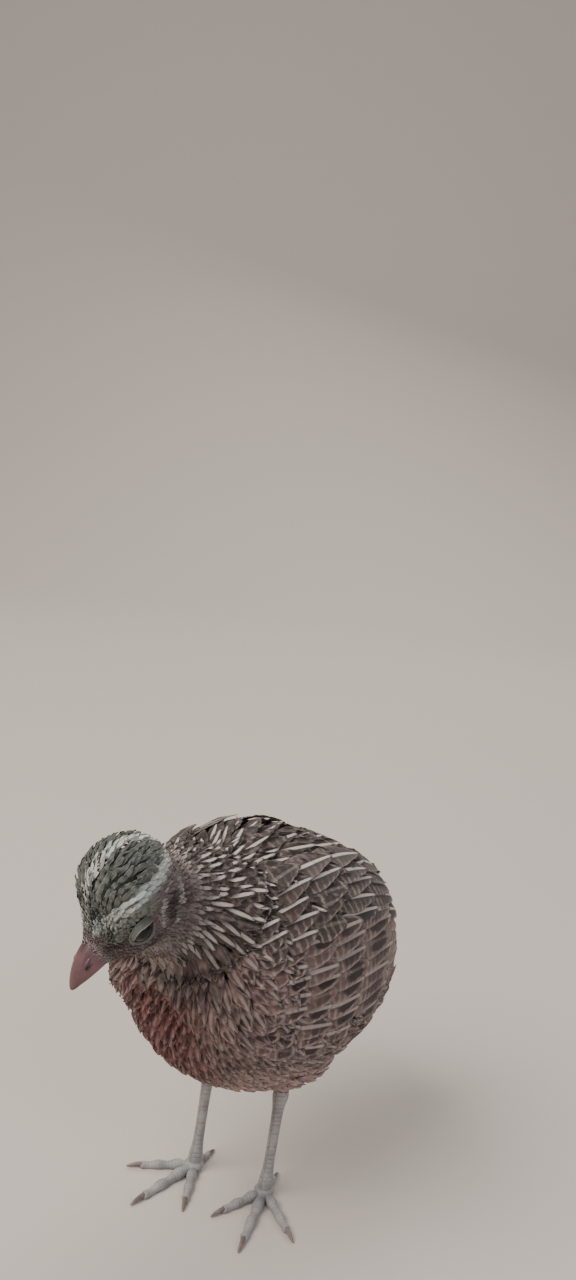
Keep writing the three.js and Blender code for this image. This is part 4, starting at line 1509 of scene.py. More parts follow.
@dataclass
class ThighCoat(Coat):
    """The small soft feathers of the thigh."""

    open_share: float = 0.8
    heel: float = 35.5  # where they are shortest
    top: float = 42  # up to which they grow

    def sizes(self, points: Array) -> Array:
        """Length, half width, tip lift and spacing, which shrink towards the heel."""
        share = np.clip((points[:, 2] - self.heel) / 9, 0, 1)[:, None]
        return np.array([1.7, 0.6, 0.3, 0.7]) * (1 - share) + np.array([5.2, 1.6, 1.1, 1.6]) * share

    def leg(self, side: int, tree: BVHTree, rng: Chance) -> Group:
        """The feathers of one thigh, which point down its axis.

        Args:
            side: LEFT or RIGHT.
            tree: The skin's faces.
            rng: Where differences come from.

        Returns:
            The group's arrays, for feather_piece.
        """
        foot = LEG.foot_y[side]
        axis = ((side * 12.3, foot - 2.0, 47), (side * 11, foot - 0.3, 41.5), (side * 10, foot + 1.2, 35.8))
        leg = Rows(axis, rays=48).cast(tree)
        leg.ways = -leg.ways
        x, y, z = leg.roots.T
        leg = leg.take((z < self.top) & (np.abs(x - side * 11) < 9) & (np.abs(y - foot) < 11))
        leg.shares = leg.shares * 0.5 + (0.25 if side > 0 else 0)
        leg = leg.take(thinned(leg.roots, self.sizes(leg.roots)[:, 3]))
        return self.grow(leg, tree, rng, Vanes(7, 5))


QUILL_LOOKS = ("513f39", "8c786f", "281d1a", (0.1, 0.4, 0.45, 0.28))
COVERT_LOOKS = ("765e56", "cfbdb3", "291e1b", (0.6, 0.35, 1.0, 0.28))
SCAPULAR_LOOKS = ("4d3c36", "cabeb5", "1f1614", (1.0, 0.35, 0.8, 0.1))


@dataclass(frozen=True)
class WingRow:
    """One row of the folded wing; angles are degrees from the ridge, places run from rump to breast."""

    count: int
    root_place: float
    root_angles: tuple
    tip_places: tuple
    tip_angles: tuple
    half: float
    lift: float
    looks: tuple = COVERT_LOOKS
    narrow: float = 0.5
    tip: float = 0.65
    blended: bool = False  # whether it takes the coat's own markings


@dataclass
class Wing:
    """A folded wing: rows of feathers shingled over the side of the trunk, longest behind."""

    seed: int = 20711
    root_lift: float = 0.85
    tilt: float = 0.5
    thick: float = 0.22
    thin: float = 0.09
    rows: tuple = (
        # Primaries and secondaries.
        WingRow(7, 0.45, (84, 108), (0.09, 0.22), (74, 106), 3.2, 1.35, QUILL_LOOKS, 0.6, 0.5),
        WingRow(8, 0.47, (52, 92), (0.12, 0.2), (52, 93), 3.7, 2.5, COVERT_LOOKS, 0.6, 0.62),
        # Greater and median coverts, and three rows of lesser coverts.
        WingRow(9, 0.57, (60, 109), (0.34, 0.39), (58, 108), 3.0, 2.75, narrow=0.55),
        WingRow(9, 0.64, (62, 109), (0.46, 0.5), (61, 108), 2.7, 2.7, narrow=0.55),
        WingRow(9, 0.71, (63, 108), (0.56, 0.59), (62, 108), 2.5, 2.6, narrow=0.55),
        WingRow(8, 0.77, (64, 107), (0.645, 0.67), (64, 107), 2.4, 2.4),
        WingRow(8, 0.81, (66, 106), (0.71, 0.73), (66, 106), 2.3, 2.1, blended=True),
        # Scapulars, from the longest forward.
        WingRow(5, 0.48, (32, 57), (0.24, 0.28), (33, 60), 3.4, 3.2, SCAPULAR_LOOKS, tip=0.6),
        WingRow(5, 0.57, (31, 57), (0.37, 0.41), (32, 58), 3.3, 3.3, SCAPULAR_LOOKS, tip=0.6),
        WingRow(5, 0.66, (32, 57), (0.48, 0.52), (32, 58), 3.2, 3.2, SCAPULAR_LOOKS, tip=0.6),
        WingRow(5, 0.74, (34, 58), (0.585, 0.62), (33, 58), 3.0, 3.0, SCAPULAR_LOOKS, tip=0.6, blended=True),
        WingRow(5, 0.81, (36, 60), (0.69, 0.71), (35, 60), 2.7, 2.6, SCAPULAR_LOOKS, tip=0.6),
    )

    def build(self, side: int, material: Material) -> None:
        """Builds one wing as a piece.

        Args:
            side: LEFT or RIGHT.
            material: The feathers' finish.
        """
        rng = np.random.default_rng(self.seed + side)
        groups = [self.row(side, row, index, rng) for index, row in enumerate(self.rows)]
        name = SIDE_NAMES[side]
        settle(feather_piece(f"wing_{name}_feathers", groups, material), Slot.FLIGHT, f"wing_{name}")

    def row(self, side: int, row: WingRow, index: int, rng: Chance) -> Group:
        """One row: each vane runs from its root's place and angle to its tip's, over the trunk's own curve.

        Args:
            side: LEFT or RIGHT.
            row: The row's sizes.
            index: Which row it is, for its strip of the map for baking.
            rng: Where differences come from.

        Returns:
            The group's arrays, for feather_piece.
        """
        count = row.count
        share = np.linspace(0, 1, count)
        root_place = row.root_place + 0.006 * rng.uniform(-1, 1, count)
        tip_place = np.interp(share, [0, 1], row.tip_places) + 0.012 * rng.uniform(-1, 1, count)
        root_angle = np.interp(share, [0, 1], row.root_angles) + rng.uniform(-1, 1, count)
        tip_angle = np.interp(share, [0, 1], row.tip_angles) + 1.5 * rng.uniform(-1, 1, count)
        tip_lift = row.lift + 0.1 * rng.uniform(-1, 1, count)
        vanes = Vanes(22 if root_place[0] - tip_place.mean() > 0.18 else 14, 9)
        along, across = vanes.shares()
        reach = rounded(along, across, 0.22) + rng.normal(0, 0.012, (count, 1, vanes.columns)) * along**3
        place = each(root_place) + each(tip_place - root_place) * reach
        angle = each(root_angle) + each(tip_angle - root_angle) * reach
        half = row.half * vane_width(along, row.narrow, 0.5, row.tip)
        lift = self.root_lift + (each(tip_lift) - self.root_lift) * along
        lift = lift + self.tilt * across * np.minimum(1, 0.25 + 1.6 * along)
        lift = lift - 0.14 * across**2 + 0.12 * np.exp(-((across / 0.1) ** 2)) * (1 - 0.7 * along)
        trunk_half = np.maximum(TRUNK.sections(place)[..., 3], 9)
        turned = np.radians(angle) + half * across / trunk_half
        top = TRUNK.point(place, side * turned, lift)
        thick = (self.thick + (self.thin - self.thick) * along) * (1 - 0.5 * across**2)
        under = TRUNK.point(place, side * turned, lift - thick) - top
        if side == RIGHT:
            top, under = top[:, :, ::-1], under[:, :, ::-1]
        middle = vanes.columns // 2
        pattern = Pattern.plain(count, *row.looks)
        if row.blended:
            pattern = PLUMAGE.pattern(top[:, vanes.rows // 2, middle])
        pattern.vary(rng, 0.12)
        length = np.linalg.norm(top[:, -1, middle] - top[:, 0, middle], axis=-1)
        sizes = xyz(row.half, length, rng.random(count))
        bake = np.stack([0.03 + 0.94 * share, np.full(count, 0.04 + 0.075 * index)], -1)
        return vane_group(vanes, top, under, pattern, sizes, bake)


@dataclass(frozen=True)
class TailRow:
    """One layer of the tail's fan."""

    count: int
    spread: float
    length: float
    half: float
    root_lift: float
    lift: float
    sag: float
    looks: tuple


TAIL_LOOKS = ("6c5b52", "bbaca0", "332924", (0.25, 0.9, 0.0, 0.35))
TAIL_COVERT_LOOKS = ("816f65", "c1b3a7", "3e332c", (0.5, 0.7, 0.2, 0.3))
UNDER_TAIL_LOOKS = ("a09184", "c4b8aa", "6d6055", (0.1, 0.3, 0.0, 0.3))


@dataclass
class Tail:
    """A short, drooping tail: a fan of feathers, with coverts over and under it."""

    seed: int = 3119
    root: tuple = (0, 40, 66.5)
    drop: float = math.radians(40)
    tilt: float = 0.35
    rows: tuple = (
        TailRow(12, 17, 30, 2.4, 0, 0, 2.6, TAIL_LOOKS),
        TailRow(7, 17, 25, 2.7, 0.5, 0.9, 2.2, TAIL_COVERT_LOOKS),
        TailRow(7, 16, 20, 2.8, 0.9, 1.9, 1.6, TAIL_COVERT_LOOKS),
        TailRow(6, 14, 15, 2.8, 1.6, 3.0, 1.0, TAIL_COVERT_LOOKS),
        TailRow(6, 15, 22, 2.6, -0.6, -1.6, 0.8, UNDER_TAIL_LOOKS),
        TailRow(6, 14, 17, 2.7, -1.2, -2.9, 0.2, UNDER_TAIL_LOOKS),
    )

    def build(self, material: Material) -> None:
        """Builds the tail as one piece.

        Args:
            material: The feathers' finish.
        """
        rng = np.random.default_rng(self.seed)
        groups = [self.row(row, index, rng) for index, row in enumerate(self.rows)]
        settle(feather_piece("tail_feathers", groups, material), Slot.FLIGHT, "tail")

    def row(self, row: TailRow, index: int, rng: Chance) -> Group:
        """One layer: vanes fan out from the root in a plane that drops behind, the outer ones sagging.

        Args:
            row: The layer's sizes.
            index: Which layer it is, for its strip of the map for baking.
            rng: Where differences come from.

        Returns:
            The group's arrays, for feather_piece.
        """
        count = row.count
        share = np.linspace(-1, 1, count)
        back = math.cos(self.drop) * Y - math.sin(self.drop) * Z
        up = math.sin(self.drop) * Y + math.cos(self.drop) * Z
        fan = each(np.radians(row.spread * share + rng.uniform(-1, 1, count)))
        length = row.length * (1 - 0.06 * share**2) + 0.6 * rng.uniform(-1, 1, count)
        vanes = Vanes(20, 9)
        along, across = vanes.shares()
        reach = rounded(along, across, 0.16) + rng.normal(0, 0.01, (count, 1, vanes.columns)) * along**3
        run = each(length) * reach
        wide = row.half * vane_width(along, 0.45, 0.5, 0.75) * across
        level = row.root_lift + (row.lift - row.root_lift) * along
        level = level - each(np.abs(share)) * row.sag * (0.3 + 0.7 * along)
        tilt = -each(np.sign(share)) * self.tilt * np.minimum(1, 0.25 + 1.6 * along)
        level = level + tilt * across - 0.1 * across**2 + 0.1 * np.exp(-((across / 0.1) ** 2))
        aside = run * np.sin(fan) + wide * np.cos(fan)
        behind = run * np.cos(fan) - wide * np.sin(fan)
        top = np.array(self.root) + aside[..., None] * X + behind[..., None] * back + level[..., None] * up
        thick = np.broadcast_to((0.2 - 0.11 * along) * (1 - 0.5 * across**2), top.shape[:3])
        under = -thick[..., None] * up
        pattern = Pattern.plain(count, *row.looks)
        pattern.vary(rng, 0.1)
        sizes = xyz(row.half, length, rng.random(count))
        bake = np.stack([0.5 + 0.45 * share, np.full(count, 0.08 + 0.16 * index)], -1)
        top, under = top[:, :, ::-1], under[:, :, ::-1]
        return vane_group(vanes, top, under, pattern, sizes, bake)


# Eyes, bill and legs


@dataclass
class Eye:
    """An eyeball with a slightly raised cornea, in a socket rimmed by two bare lids."""

    rings: int = 48
    sides: int = 64
    cornea: float = 0.22  # how far the cornea stands out over the ball
    sunk: float = 0.12  # how far the ball lies inside the head's own eye radius
    lid_ring: float = 2.85
    lid_thick: float = 0.3
    lid_radius: float = 3.54
    lid_edge: float = 1.35  # how far above the eye's middle the lowered lid ends
    lid_slant: float = 0.2
    lid_steps: int = 96
    bead_steps: int = 14

    def build(self, side: int, ball: Material, lid: Material) -> None:
        """Builds one eye and its lids.

        Args:
            side: LEFT or RIGHT.
            ball: The wet eye's finish.
            lid: The lids' finish.
        """
        name = SIDE_NAMES[side]
        centre = HEAD.eye(side)
        out = math.copysign(1, centre[0])
        turn = np.linspace(0, math.pi, self.rings + 2)[1:-1]
        radius = HEAD.eye_radius - self.sunk + self.cornea * smooth(0.75, 0.98, np.cos(turn))
        ring = (radius * np.sin(turn))[:, None]
        centres = centre + (out * radius * np.cos(turn))[:, None] * X
        points, faces = swept(centres, ring * Y, ring * Z, self.sides)
        pole = out * (HEAD.eye_radius - self.sunk + self.cornea) * X
        points[-2:] = centre + pole, centre - pole
        placed = HEAD.place(points)
        made = write_mesh(f"eye_{name}_ball", placed, outward(placed, faces), ball)
        aside, y, z = (points - centre).T
        sight = xyz(y, z, np.hypot(y, z) + 10 * (aside * out < 0))
        give(made.data, "sight", sight, "FLOAT_VECTOR")
        settle(made, Slot.EYE, f"eye_{name}")
        self.build_lid(side, lid)

    def build_lid(self, side: int, lid: Material) -> None:
        """A ring of bare skin round the eye, longer than high, drawn to a point in front and behind.

        Args:
            side: LEFT or RIGHT.
            lid: The lids' finish.
        """
        centre = HEAD.eye(side)
        out = math.copysign(1, centre[0])
        turn = circle(self.lid_steps)
        pointed = 1 + 0.07 * np.cos(turn) ** 8
        y, z = self.lid_ring * pointed * np.cos(turn) * 1.06, self.lid_ring * pointed * np.sin(turn) * 0.86
        reach = np.minimum(np.hypot(y, z), 3.0)
        stand = np.sqrt(np.maximum((HEAD.eye_radius + 0.06) ** 2 - reach**2, 0.1))
        middle = xyz(out * stand, y, z)
        radial = unit(xyz(0, y, z))
        bead = circle(self.bead_steps)
        thick = self.lid_thick * (1 + 0.08 * np.sin(turn * 31)[:, None])
        offset = (
            radial[:, None] * (np.cos(bead) * thick * 1.35)[..., None]
            + out * X * (np.sin(bead) * 0.8 * thick)[..., None]
        )
        ring = HEAD.place(centre + middle[:, None] + offset).reshape(-1, 3)
        steps = self.bead_steps
        i, j = np.meshgrid(np.arange(self.lid_steps), np.arange(steps), indexing="ij")
        here, ahead = i * steps, (i + 1) % self.lid_steps * steps
        beside = (j + 1) % steps
        quads = np.stack([here + j, ahead + j, ahead + beside, here + beside], -1).reshape(-1, 4)
        upper, upper_quads, upper_tone = self.upper_lid(out)
        upper = HEAD.place(centre + upper)
        points, faces = joined([(ring, outward(ring, [quads])), (upper, outward(upper, [upper_quads]))])
        made = write_mesh(f"eye_{SIDE_NAMES[side]}_lids", points, faces, lid)
        tone = np.concatenate([np.full(len(ring), 0.75), upper_tone])
        give(made.data, "tint", with_alpha(np.repeat(tone[:, None], 3, 1)))
        settle(made, Slot.BODY)

    def upper_lid(self, out: float) -> tuple[Array, Array, Array]:
        """The half-lowered upper lid: a thin shell over the ball, from the ring to a slanting, bowed edge.

        Args:
            out: The sign of the side the eye looks to, in the head's frame.

        Returns:
            Points round the eye's centre, faces, and each point's tone, palest along the edge.
        """
        vanes = Vanes(14, 41)
        down = np.linspace(0, 1, vanes.rows)[:, None]
        y = 3.0 * np.sin(np.linspace(-1.5, 1.5, vanes.columns))[None, :]
        bow = 1 - (y / 3.02) ** 2
        z = 2.62 * np.sqrt(bow) * (1 - down) + (self.lid_edge + self.lid_slant * y) * bow * down
        crease = 0.05 * np.sin(down * 3 * math.pi) ** 2
        layers = []
        for radius in (self.lid_radius + crease, self.lid_radius - 0.13):
            x = out * np.sqrt(np.maximum(radius**2 - y**2 - z**2, 0.5))
            layers.append(xyz(x, y, z)[None])
        tone = np.broadcast_to(0.9 + 1.2 * smooth(0.76, 0.9, down), z.shape)[None, ..., None]
        return vanes.both(*layers)[0], vanes.faces(1), vanes.both(tone, tone).ravel()


@dataclass
class Bill:
    """A short stout bill: an upper half that hooks down over the lower, with covered nostrils."""

    base: float = 6.2  # under the feathers of the face
    face: float = 8.2
    tip: float = 18.2
    half: float = 3.1
    rise: float = 3.4
    drop: float = 2.5
    gape: float = -1.1
    rings: int = 44
    sides: int = 56

    def section(self, upper: bool) -> Surface:
        """One half of the bill: rings of a half disc, whose flat edge is the line of the mouth.

        Args:
            upper: Whether it is the upper half.

        Returns:
            Points and faces.
        """
        length = (self.tip - self.face) * (1.0 if upper else 0.9)
        start = (self.base - self.face) / length
        place = start + (1 - start) * np.sin(np.linspace(0, math.pi / 2, self.rings))
        place = np.minimum(place, 0.9985)
        grown = np.maximum(place, 0)
        half = self.half * np.sqrt(1 - grown**1.7) * (1.0 if upper else 0.9)
        gape = self.gape - 2.1 * 0.55 * grown**2
        if upper:
            far = self.rise - 1.1 * place - 4.2 * grown**2.4
            near = gape + 0.04
            far = np.maximum(far, near + 0.12)
        else:
            near = gape - 0.12
            far = near - self.drop * (1 - grown**1.6) - 0.1
        c, s = np.cos(circle(self.sides)), np.sin(circle(self.sides))
        x = half[:, None] * np.sign(c) * np.abs(c) ** 0.82
        bulge = np.where(s > 0, np.abs(s) ** 0.9, -0.06 * np.abs(s))
        z = near[:, None] + (far - near)[:, None] * bulge
        y = np.broadcast_to((self.face + length * place)[:, None], x.shape)
        groove = np.exp(-(((y - 12.1) / 2.0) ** 2) - ((bulge - 0.62) / 0.16) ** 2) * upper
        x = x * (1 - 0.07 * groove)
        points = xyz(x, y, z).reshape(-1, 3)
        middle = (near + far) / 2
        poles = np.array([[0, y[0, 0], middle[0]], [0, y[-1, 0] + 0.03, middle[-1]]])
        points = np.concatenate([points, poles])
        return points, outward(points, tube_faces(self.rings, self.sides))

    @staticmethod
    def nostril(side: int) -> list[Surface]:
        """The bulging scale over a nostril, which leans on the bill's side, and the dark slit below it.

        Args:
            side: LEFT or RIGHT.

        Returns:
            Points and faces of each.
        """
        cover = [-side * 1.98, 11.8, 1.0], [side * 0.16, -1.6, 0.1], [0.52, 0, -0.25], 0.66 * Z
        slit = [-side * 2.33, 12.2, 0.38], [0, -1.25, 0.12], 0.4 * X, 0.26 * Z
        return [egg(*cover, 18, 24), egg(*slit, 14, 16)]

    def build(self, material: Material) -> None:
        """Builds the two halves.

        Args:
            material: The horn's finish.
        """
        for name, upper, node in (("upper_bill", True, "bill_upper"), ("lower_bill", False, "bill_lower")):
            parts = [self.section(upper)]
            tints = [self.tone(parts[0][0])]
            if upper:
                for side in (LEFT, RIGHT):
                    cover, slit = self.nostril(side)
                    parts += [cover, slit]
                    # The slit's near-black tint is painted shade for the nostril's open hollow.
                    tints += [self.tone(cover[0]) * 0.92, np.full((len(slit[0]), 3), 0.1)]
            points, faces = joined(parts)
            made = write_mesh(name, HEAD.place(points), faces, material)
            give(made.data, "tint", with_alpha(np.concatenate(tints)))
            settle(made, Slot.BILL, node)

    @staticmethod
    def tone(points: Array) -> Array:
        """Darkens the horn along the culmen and to the tip."""
        ridge = smooth(0.5, 3.2, points[:, 2]) * 0.22 + smooth(12, 18, points[:, 1]) * 0.3
        return (1 - ridge)[:, None] * np.array([1.0, 0.97, 0.95])


@dataclass(frozen=True)
class Toe:
    """One toe, by the angle it points, its length and its claw's."""

    name: str
    angle: float
    length: float
    claw: float
    stout: float


@dataclass
class Leg:
    """A bare leg below the heel: a shank shod in scutes, a foot pad, four padded toes with claws."""

    side: float = 10
    foot_y: dict = field(default_factory=lambda: {LEFT: 3.5, RIGHT: -2.5})
    foot_turn: dict = field(default_factory=lambda: {LEFT: 22, RIGHT: 4})
    shank: tuple = (
        (0, 1.2, 38, 1.7), (0, 1.5, 33.5, 1.75), (0, 1.6, 29, 2.2), (0, 1.2, 24, 1.55),
        (0, 0.45, 10, 1.46), (0, 0, 4, 1.95), (0, -0.2, 1.2, 1.7),
    )
    sides: int = 40  # points round the shank
    toe_radius: float = 1.45
    toe_taper: float = 0.32
    scute: float = 1.25  # from one scute to the next
    toes: tuple = (
        Toe("hallux", 172, 6.5, 2.6, 0.8),
        Toe("inner", -36, 14, 3.4, 0.95),
        Toe("middle", 0, 19, 3.8, 1.0),
        Toe("outer", 40, 15, 3.4, 0.95),
    )

    @staticmethod
    def plates(run: Array, length: float) -> tuple[Array, Array]:
        """Overlapping plates: each rises along its length, then drops into a narrow groove.

        Args:
            run: Distance along the limb.
            length: From one plate to the next.

        Returns:
            The height from -1 to 1, and how deep in a groove, 0 to 1.
        """
        share = (run / length) % 1
        groove = 1 - smooth(0, 0.16, share) + smooth(0.93, 1, share)
        return 0.5 + 0.5 * share - 1.5 * groove, groove

    def column(self, side: int) -> tuple[Array, list[Array], Array]:
        """The shank: rings whose front carries two rows of broad plates, its back small scales.

        Args:
            side: LEFT or RIGHT.

        Returns:
            Points, faces and tints.
        """
        place = np.linspace(0, 1, 330)
        out, back, z, radius = curve_at(self.shank, place).T
        centres = xyz(side * (self.side + out), self.foot_y[side] + back, z)
        turn = circle(self.sides)
        front = smooth(-0.25, 0.15, -np.sin(turn))
        inner = np.cos(turn) * side < 0
        height, groove = self.plates(z[:, None] + 0.5 * self.scute * inner, self.scute)
        seam = np.exp(-((np.cos(turn) / 0.16) ** 2)) * front
        small, small_groove = self.plates(z[:, None] + 0.35 * np.sin(4 * turn), 0.55)
        relief = (0.085 * height - 0.09 * seam) * front + 0.03 * small * (1 - front)
        grown = radius[:, None] + relief
        ring = xyz(grown * np.cos(turn) * 0.93, grown * np.sin(turn), 0)
        points = np.concatenate([(centres[:, None] + ring).reshape(-1, 3), centres[:1], centres[-1:]])
        # How deep each point lies in a groove, for the painted shade there.
        depth = (0.9 * groove + 0.7 * seam) * front + 0.4 * small_groove * (1 - front)
        return points, outward(points, tube_faces(len(z), self.sides)), self.shade(depth)

    @staticmethod
    def shade(depth: Array) -> Array:
        """The tint of each point: painted shade, darker and warmer down in the grooves, with one row for each
        pole.
        """
        depth = np.append(np.clip(depth, 0, 1).ravel(), [0, 0])[:, None]
        return 1 - depth * np.array([0.36, 0.42, 0.46])

    def toe(self, side: int, toe: Toe) -> tuple[Array, list[Array], Array]:
        """A toe: rings that taper, swell at the pads, carry plates on top, and flatten on the ground.

        Args:
            side: LEFT or RIGHT.
            toe: Its sizes.

        Returns:
            Points, faces and tints.
        """
        rings, sides = 190, 30
        place = np.sin(np.linspace(0, math.pi / 2, rings))
        reach = place * toe.length
        pads = 1 + 0.12 * np.cos(place * FULL_TURN * 3)
        radius = self.toe_radius * toe.stout * (1 - self.toe_taper * place) * pads
        radius = radius * np.sqrt(np.clip(1 - (np.clip(place - 0.93, 0, 1) / 0.0708) ** 2, 0.02, 1))
        direction, across = self.heading(side, toe)
        start = self.foot(side)
        turn = circle(sides)
        upper = smooth(0.0, 0.45, np.sin(turn))
        height, groove = self.plates(reach[:, None], self.scute * 0.72)
        small, small_groove = self.plates(reach[:, None] + 0.2 * np.sin(5 * turn), 0.5)
        relief = (0.08 * height * upper + 0.03 * small * (1 - upper)) * (radius / self.toe_radius)[:, None]
        grown = radius[:, None] + relief
        z = 0.78 * radius[:, None] + grown * np.sin(turn)
        centres = start + direction * reach[:, None]
        points = centres[:, None] + across * (grown * np.cos(turn))[..., None]
        points[..., 2] = np.maximum(z, 0.012 * self.toes.index(toe))  # soles that share no plane
        poles = np.stack([centres[0] + [0, 0, 0.9], centres[-1] + [0, 0, 0.6]])
        points = np.concatenate([points.reshape(-1, 3), poles])
        # How deep each point lies in a groove, for the painted shade there.
        depth = 0.9 * groove * upper + 0.35 * small_groove * (1 - upper)
        return points, outward(points, tube_faces(rings, sides)), self.shade(depth)

    def foot(self, side: int) -> Array:
        """Where a foot's middle stands on the ground."""
        return np.array([side * self.side, self.foot_y[side], 0])

    def heading(self, side: int, toe: Toe) -> tuple[Array, Array]:
        """A toe's way over the ground, and the way across it."""
        angle = math.radians(-90 + side * (self.foot_turn[side] + toe.angle))
        s, c = math.sin(angle), math.cos(angle)
        return np.array([c, s, 0]), np.array([-s, c, 0])

    def pad(self, side: int) -> Surface:
        """The foot's pad where the toes meet: a low egg on the ground."""
        return egg(self.foot(side) + [0, -0.3, 1.45], 1.45 * Z, 2.7 * X, 2.7 * Y, 22, 32)

    def claw(self, side: int, toe: Toe) -> Surface:
        """A claw: a cone that bends down to a blunt point from the end of its toe.

        Args:
            side: LEFT or RIGHT.
            toe: The toe it ends.

        Returns:
            Points and faces.
        """
        place = np.linspace(0, 0.985, 26)
        direction, across = self.heading(side, toe)
        base = self.toe_radius * toe.stout * 0.5
        radius = base * np.sqrt(1 - place**1.6)
        z = base * 1.35 * np.cos(1.2 * place) + 0.12
        start = self.foot(side)
        centres = start + direction * (toe.length - 0.5 + (toe.claw + 0.8) * place)[:, None]
        centres[:, 2] = np.maximum(z, radius + 0.02)
        return swept(centres, across * (radius * 0.85)[:, None], radius[:, None] * Z, 20)

    def build(self, side: int, skin: Material, horn: Material) -> None:
        """Builds one leg and its claws.

        Args:
            side: LEFT or RIGHT.
            skin: The scaled skin's finish.
            horn: The claws' finish.
        """
        name = SIDE_NAMES[side]
        scaled = [self.column(side)] + [self.toe(side, toe) for toe in self.toes]
        pad = self.pad(side)
        points, faces = joined([part[:2] for part in scaled] + [pad])
        made = write_mesh(f"leg_{name}", points, faces, skin)
        tints = [part[2] for part in scaled] + [np.ones((len(pad[0]), 3))]
        give(made.data, "tint", with_alpha(np.concatenate(tints)))
        nodes = [f"shank_{name}", f"foot_{name}"] + [f"toe_{name}_{toe.name}" for toe in self.toes]
        settle(made, Slot.LEG, *nodes)
        points, faces = joined([self.claw(side, toe) for toe in self.toes])
        made = write_mesh(f"claws_{name}", points, faces, horn)
        give(made.data, "tint", np.ones((len(points), 4)))
        settle(made, Slot.CLAW, *[f"claw_{name}_{toe.name}" for toe in self.toes])


LEG = Leg()


# Floor, light and camera

LIGHTS_AIM = (0, 0, 0.06)  # the bird's middle, in metres


@dataclass
class Studio:
    """A pale floor that sweeps up behind, and soft lights."""

    floor_half: float = 1.6
    sweep: float = 0.5

    def floor(self, material: Material) -> None:
        """A strip that lies flat under the bird and bends up behind it in a quarter circle.

        Args:
            material: Its finish.
        """
        flat = np.linspace(-1.4, 0.9, 24)
        bend = np.linspace(0, math.pi / 2, 24)[1:]
        run = np.concatenate([flat, 0.9 + self.sweep * np.sin(bend), [0.9 + self.sweep]])
        rise = np.concatenate([np.zeros(24), self.sweep * (1 - np.cos(bend)), [2.4]])
        away, aside = CAMERA.level
        wide = np.linspace(-self.floor_half, self.floor_half, 12)
        grid = each(run) * away + wide[None, :, None] * aside + each(rise) * Z
        quads = grid_faces(np.arange(len(run) * len(wide)).reshape(len(run), len(wide)))
        made = write_mesh("floor", grid.reshape(-1, 3) / MM + PLACING.shift, quads, material)
        LOG.info("floor: pale strip %.1f m wide with a sweep behind", 2 * self.floor_half)

    @staticmethod
    def light(name: str, where: tuple, size: float, watts: float, colour: str) -> None:
        """A square soft light aimed at the bird's middle.

        Args:
            name: The light's name.
            where: Its place in metres.
            size: Its side in metres.
            watts: Its power.
            colour: Its colour as a hex value.
        """
        data = bpy.data.lights.new(name, "AREA")
        data.size, data.energy = size, watts
        data.color = linear(colour).tolist()
        lamp = bpy.data.objects.new(name, data)
        aim = Vector(LIGHTS_AIM) - Vector(where)
        lamp.matrix_world = Matrix.Translation(where) @ aim.to_track_quat("-Z", "Y").to_matrix().to_4x4()
        bpy.context.scene.collection.objects.link(lamp)

    def lights(self) -> None:
        """A soft key from above the camera's left, a wide fill, a rim from behind, and a pale surround."""
        self.light("key", (-0.25, -0.75, 1.0), 0.8, 18, "fff8f3")
        self.light("fill", (0.95, -0.25, 0.6), 1.1, 4.4, "eef2fb")
        self.light("rim", (-0.35, 0.85, 0.9), 0.8, 8, "fbf6ef")
        world = bpy.data.worlds.new("surround")
        world.use_nodes = True
        sky = next(n for n in world.node_tree.nodes if n.type == "BACKGROUND")
        sky.inputs["Color"].default_value = rgba("dfe0e4")
        sky.inputs["Strength"].default_value = 0.35
        bpy.context.scene.world = world
        LOG.info("lights: key, fill, rim and surround")


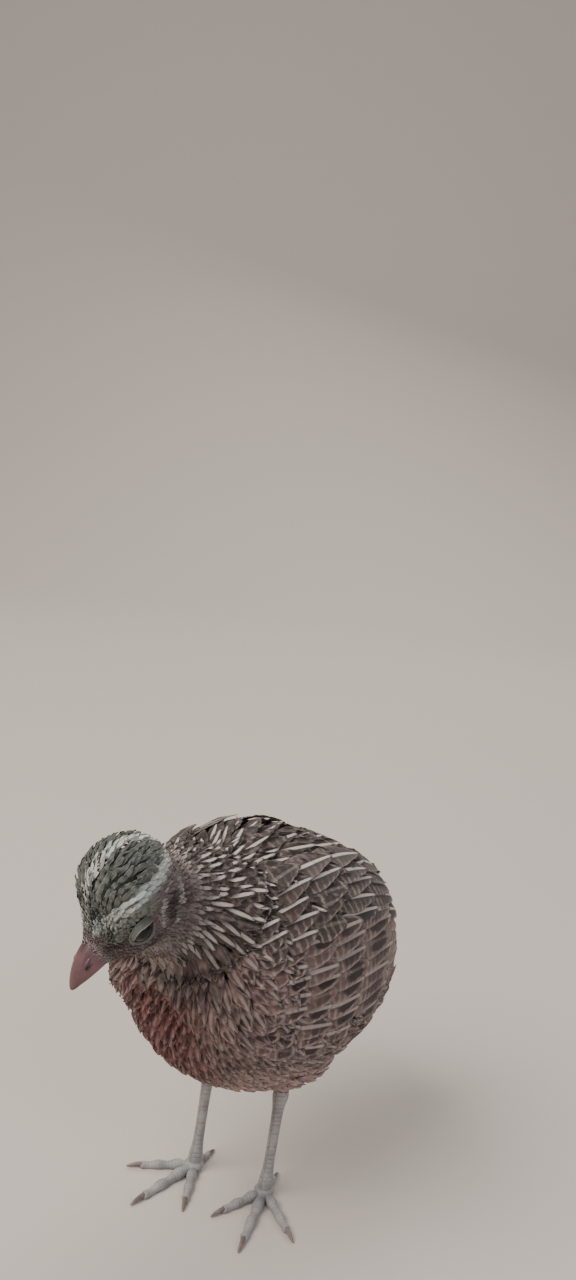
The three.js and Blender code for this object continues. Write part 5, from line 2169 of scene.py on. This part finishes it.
@dataclass(frozen=True)
class Camera:
    """The photograph's viewpoint, found by matching the bird's outline and face."""

    place: tuple = (148.27, -207.47, 200.0)
    azimuth: float = math.radians(36)
    pitch: float = math.radians(10.9)
    roll: float = math.radians(7.15)
    lens: float = 29.81

    @property
    def level(self) -> tuple[Array, Array]:
        """The level ways ahead of the camera and to its right."""
        s, c = math.sin(self.azimuth), math.cos(self.azimuth)
        return np.array([-s, c, 0]), np.array([c, s, 0])

    def build(self) -> None:
        """Sets the camera: it looks down by the pitch, and is rolled about its line of sight."""
        flat, right = self.level
        ahead = flat * math.cos(self.pitch) - math.sin(self.pitch) * Z
        above = flat * math.sin(self.pitch) + math.cos(self.pitch) * Z
        x = math.cos(self.roll) * right + math.sin(self.roll) * above
        y = -math.sin(self.roll) * right + math.cos(self.roll) * above
        data = bpy.data.cameras.new("camera")
        data.lens, data.sensor_width, data.sensor_fit = self.lens, 36, "AUTO"
        data.clip_start, data.clip_end = 0.01, 20
        made = bpy.data.objects.new("camera", data)
        turning = Matrix(np.stack([x, y, -ahead], -1).tolist()).to_4x4()
        made.matrix_world = Matrix.Translation(PLACING.metres(np.array(self.place)).tolist()) @ turning
        bpy.context.scene.collection.objects.link(made)
        bpy.context.scene.camera = made
        LOG.info("camera: %.1f mm lens", self.lens)


CAMERA = Camera()


def main() -> None:
    """Builds the quail, its floor, its light and its camera."""
    logging.basicConfig(level=logging.INFO, format="%(message)s")
    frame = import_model()
    LOG.info("frame: %d nodes", len(frame["nodes"]))
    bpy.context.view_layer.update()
    PLACING.read()
    feathers = FeatherFinish("feather_vanes").make()
    quills = FeatherFinish("flight_feather_vanes", bar_mm=2.4, streak_mm=0.34, roughness=0.62).make()
    down = SkinFinish().make()
    scales = HornFinish("leg_scales", "a8a5a1", "8d8c8b", 0.5, subsurface=0.12)
    horn = HornFinish("bill_horn", "7a5558", "5c4144", 0.42, grain=1500.0, relief_mm=0.02)
    claw_horn = HornFinish("claw_horn", "8b7c74", "5c504a", 0.4, grain=1500.0, relief_mm=0.02)
    lid_skin = HornFinish("lid_skin", "74776d", "5d5f57", 0.6, grain=3800.0)
    skin = Skin().build(down)
    Coat().build(skin, feathers)
    for side in (LEFT, RIGHT):
        Wing().build(side, quills)
    Tail().build(quills)
    eye, lid, leg, claw = EyeFinish().make(), lid_skin.make(), scales.make(), claw_horn.make()
    for side in (LEFT, RIGHT):
        Eye().build(side, eye, lid)
        LEG.build(side, leg, claw)
    Bill().build(horn.make())
    studio = Studio()
    studio.floor(FloorFinish().make())
    studio.lights()
    CAMERA.build()
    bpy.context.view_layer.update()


if __name__ == "__main__":
    main()
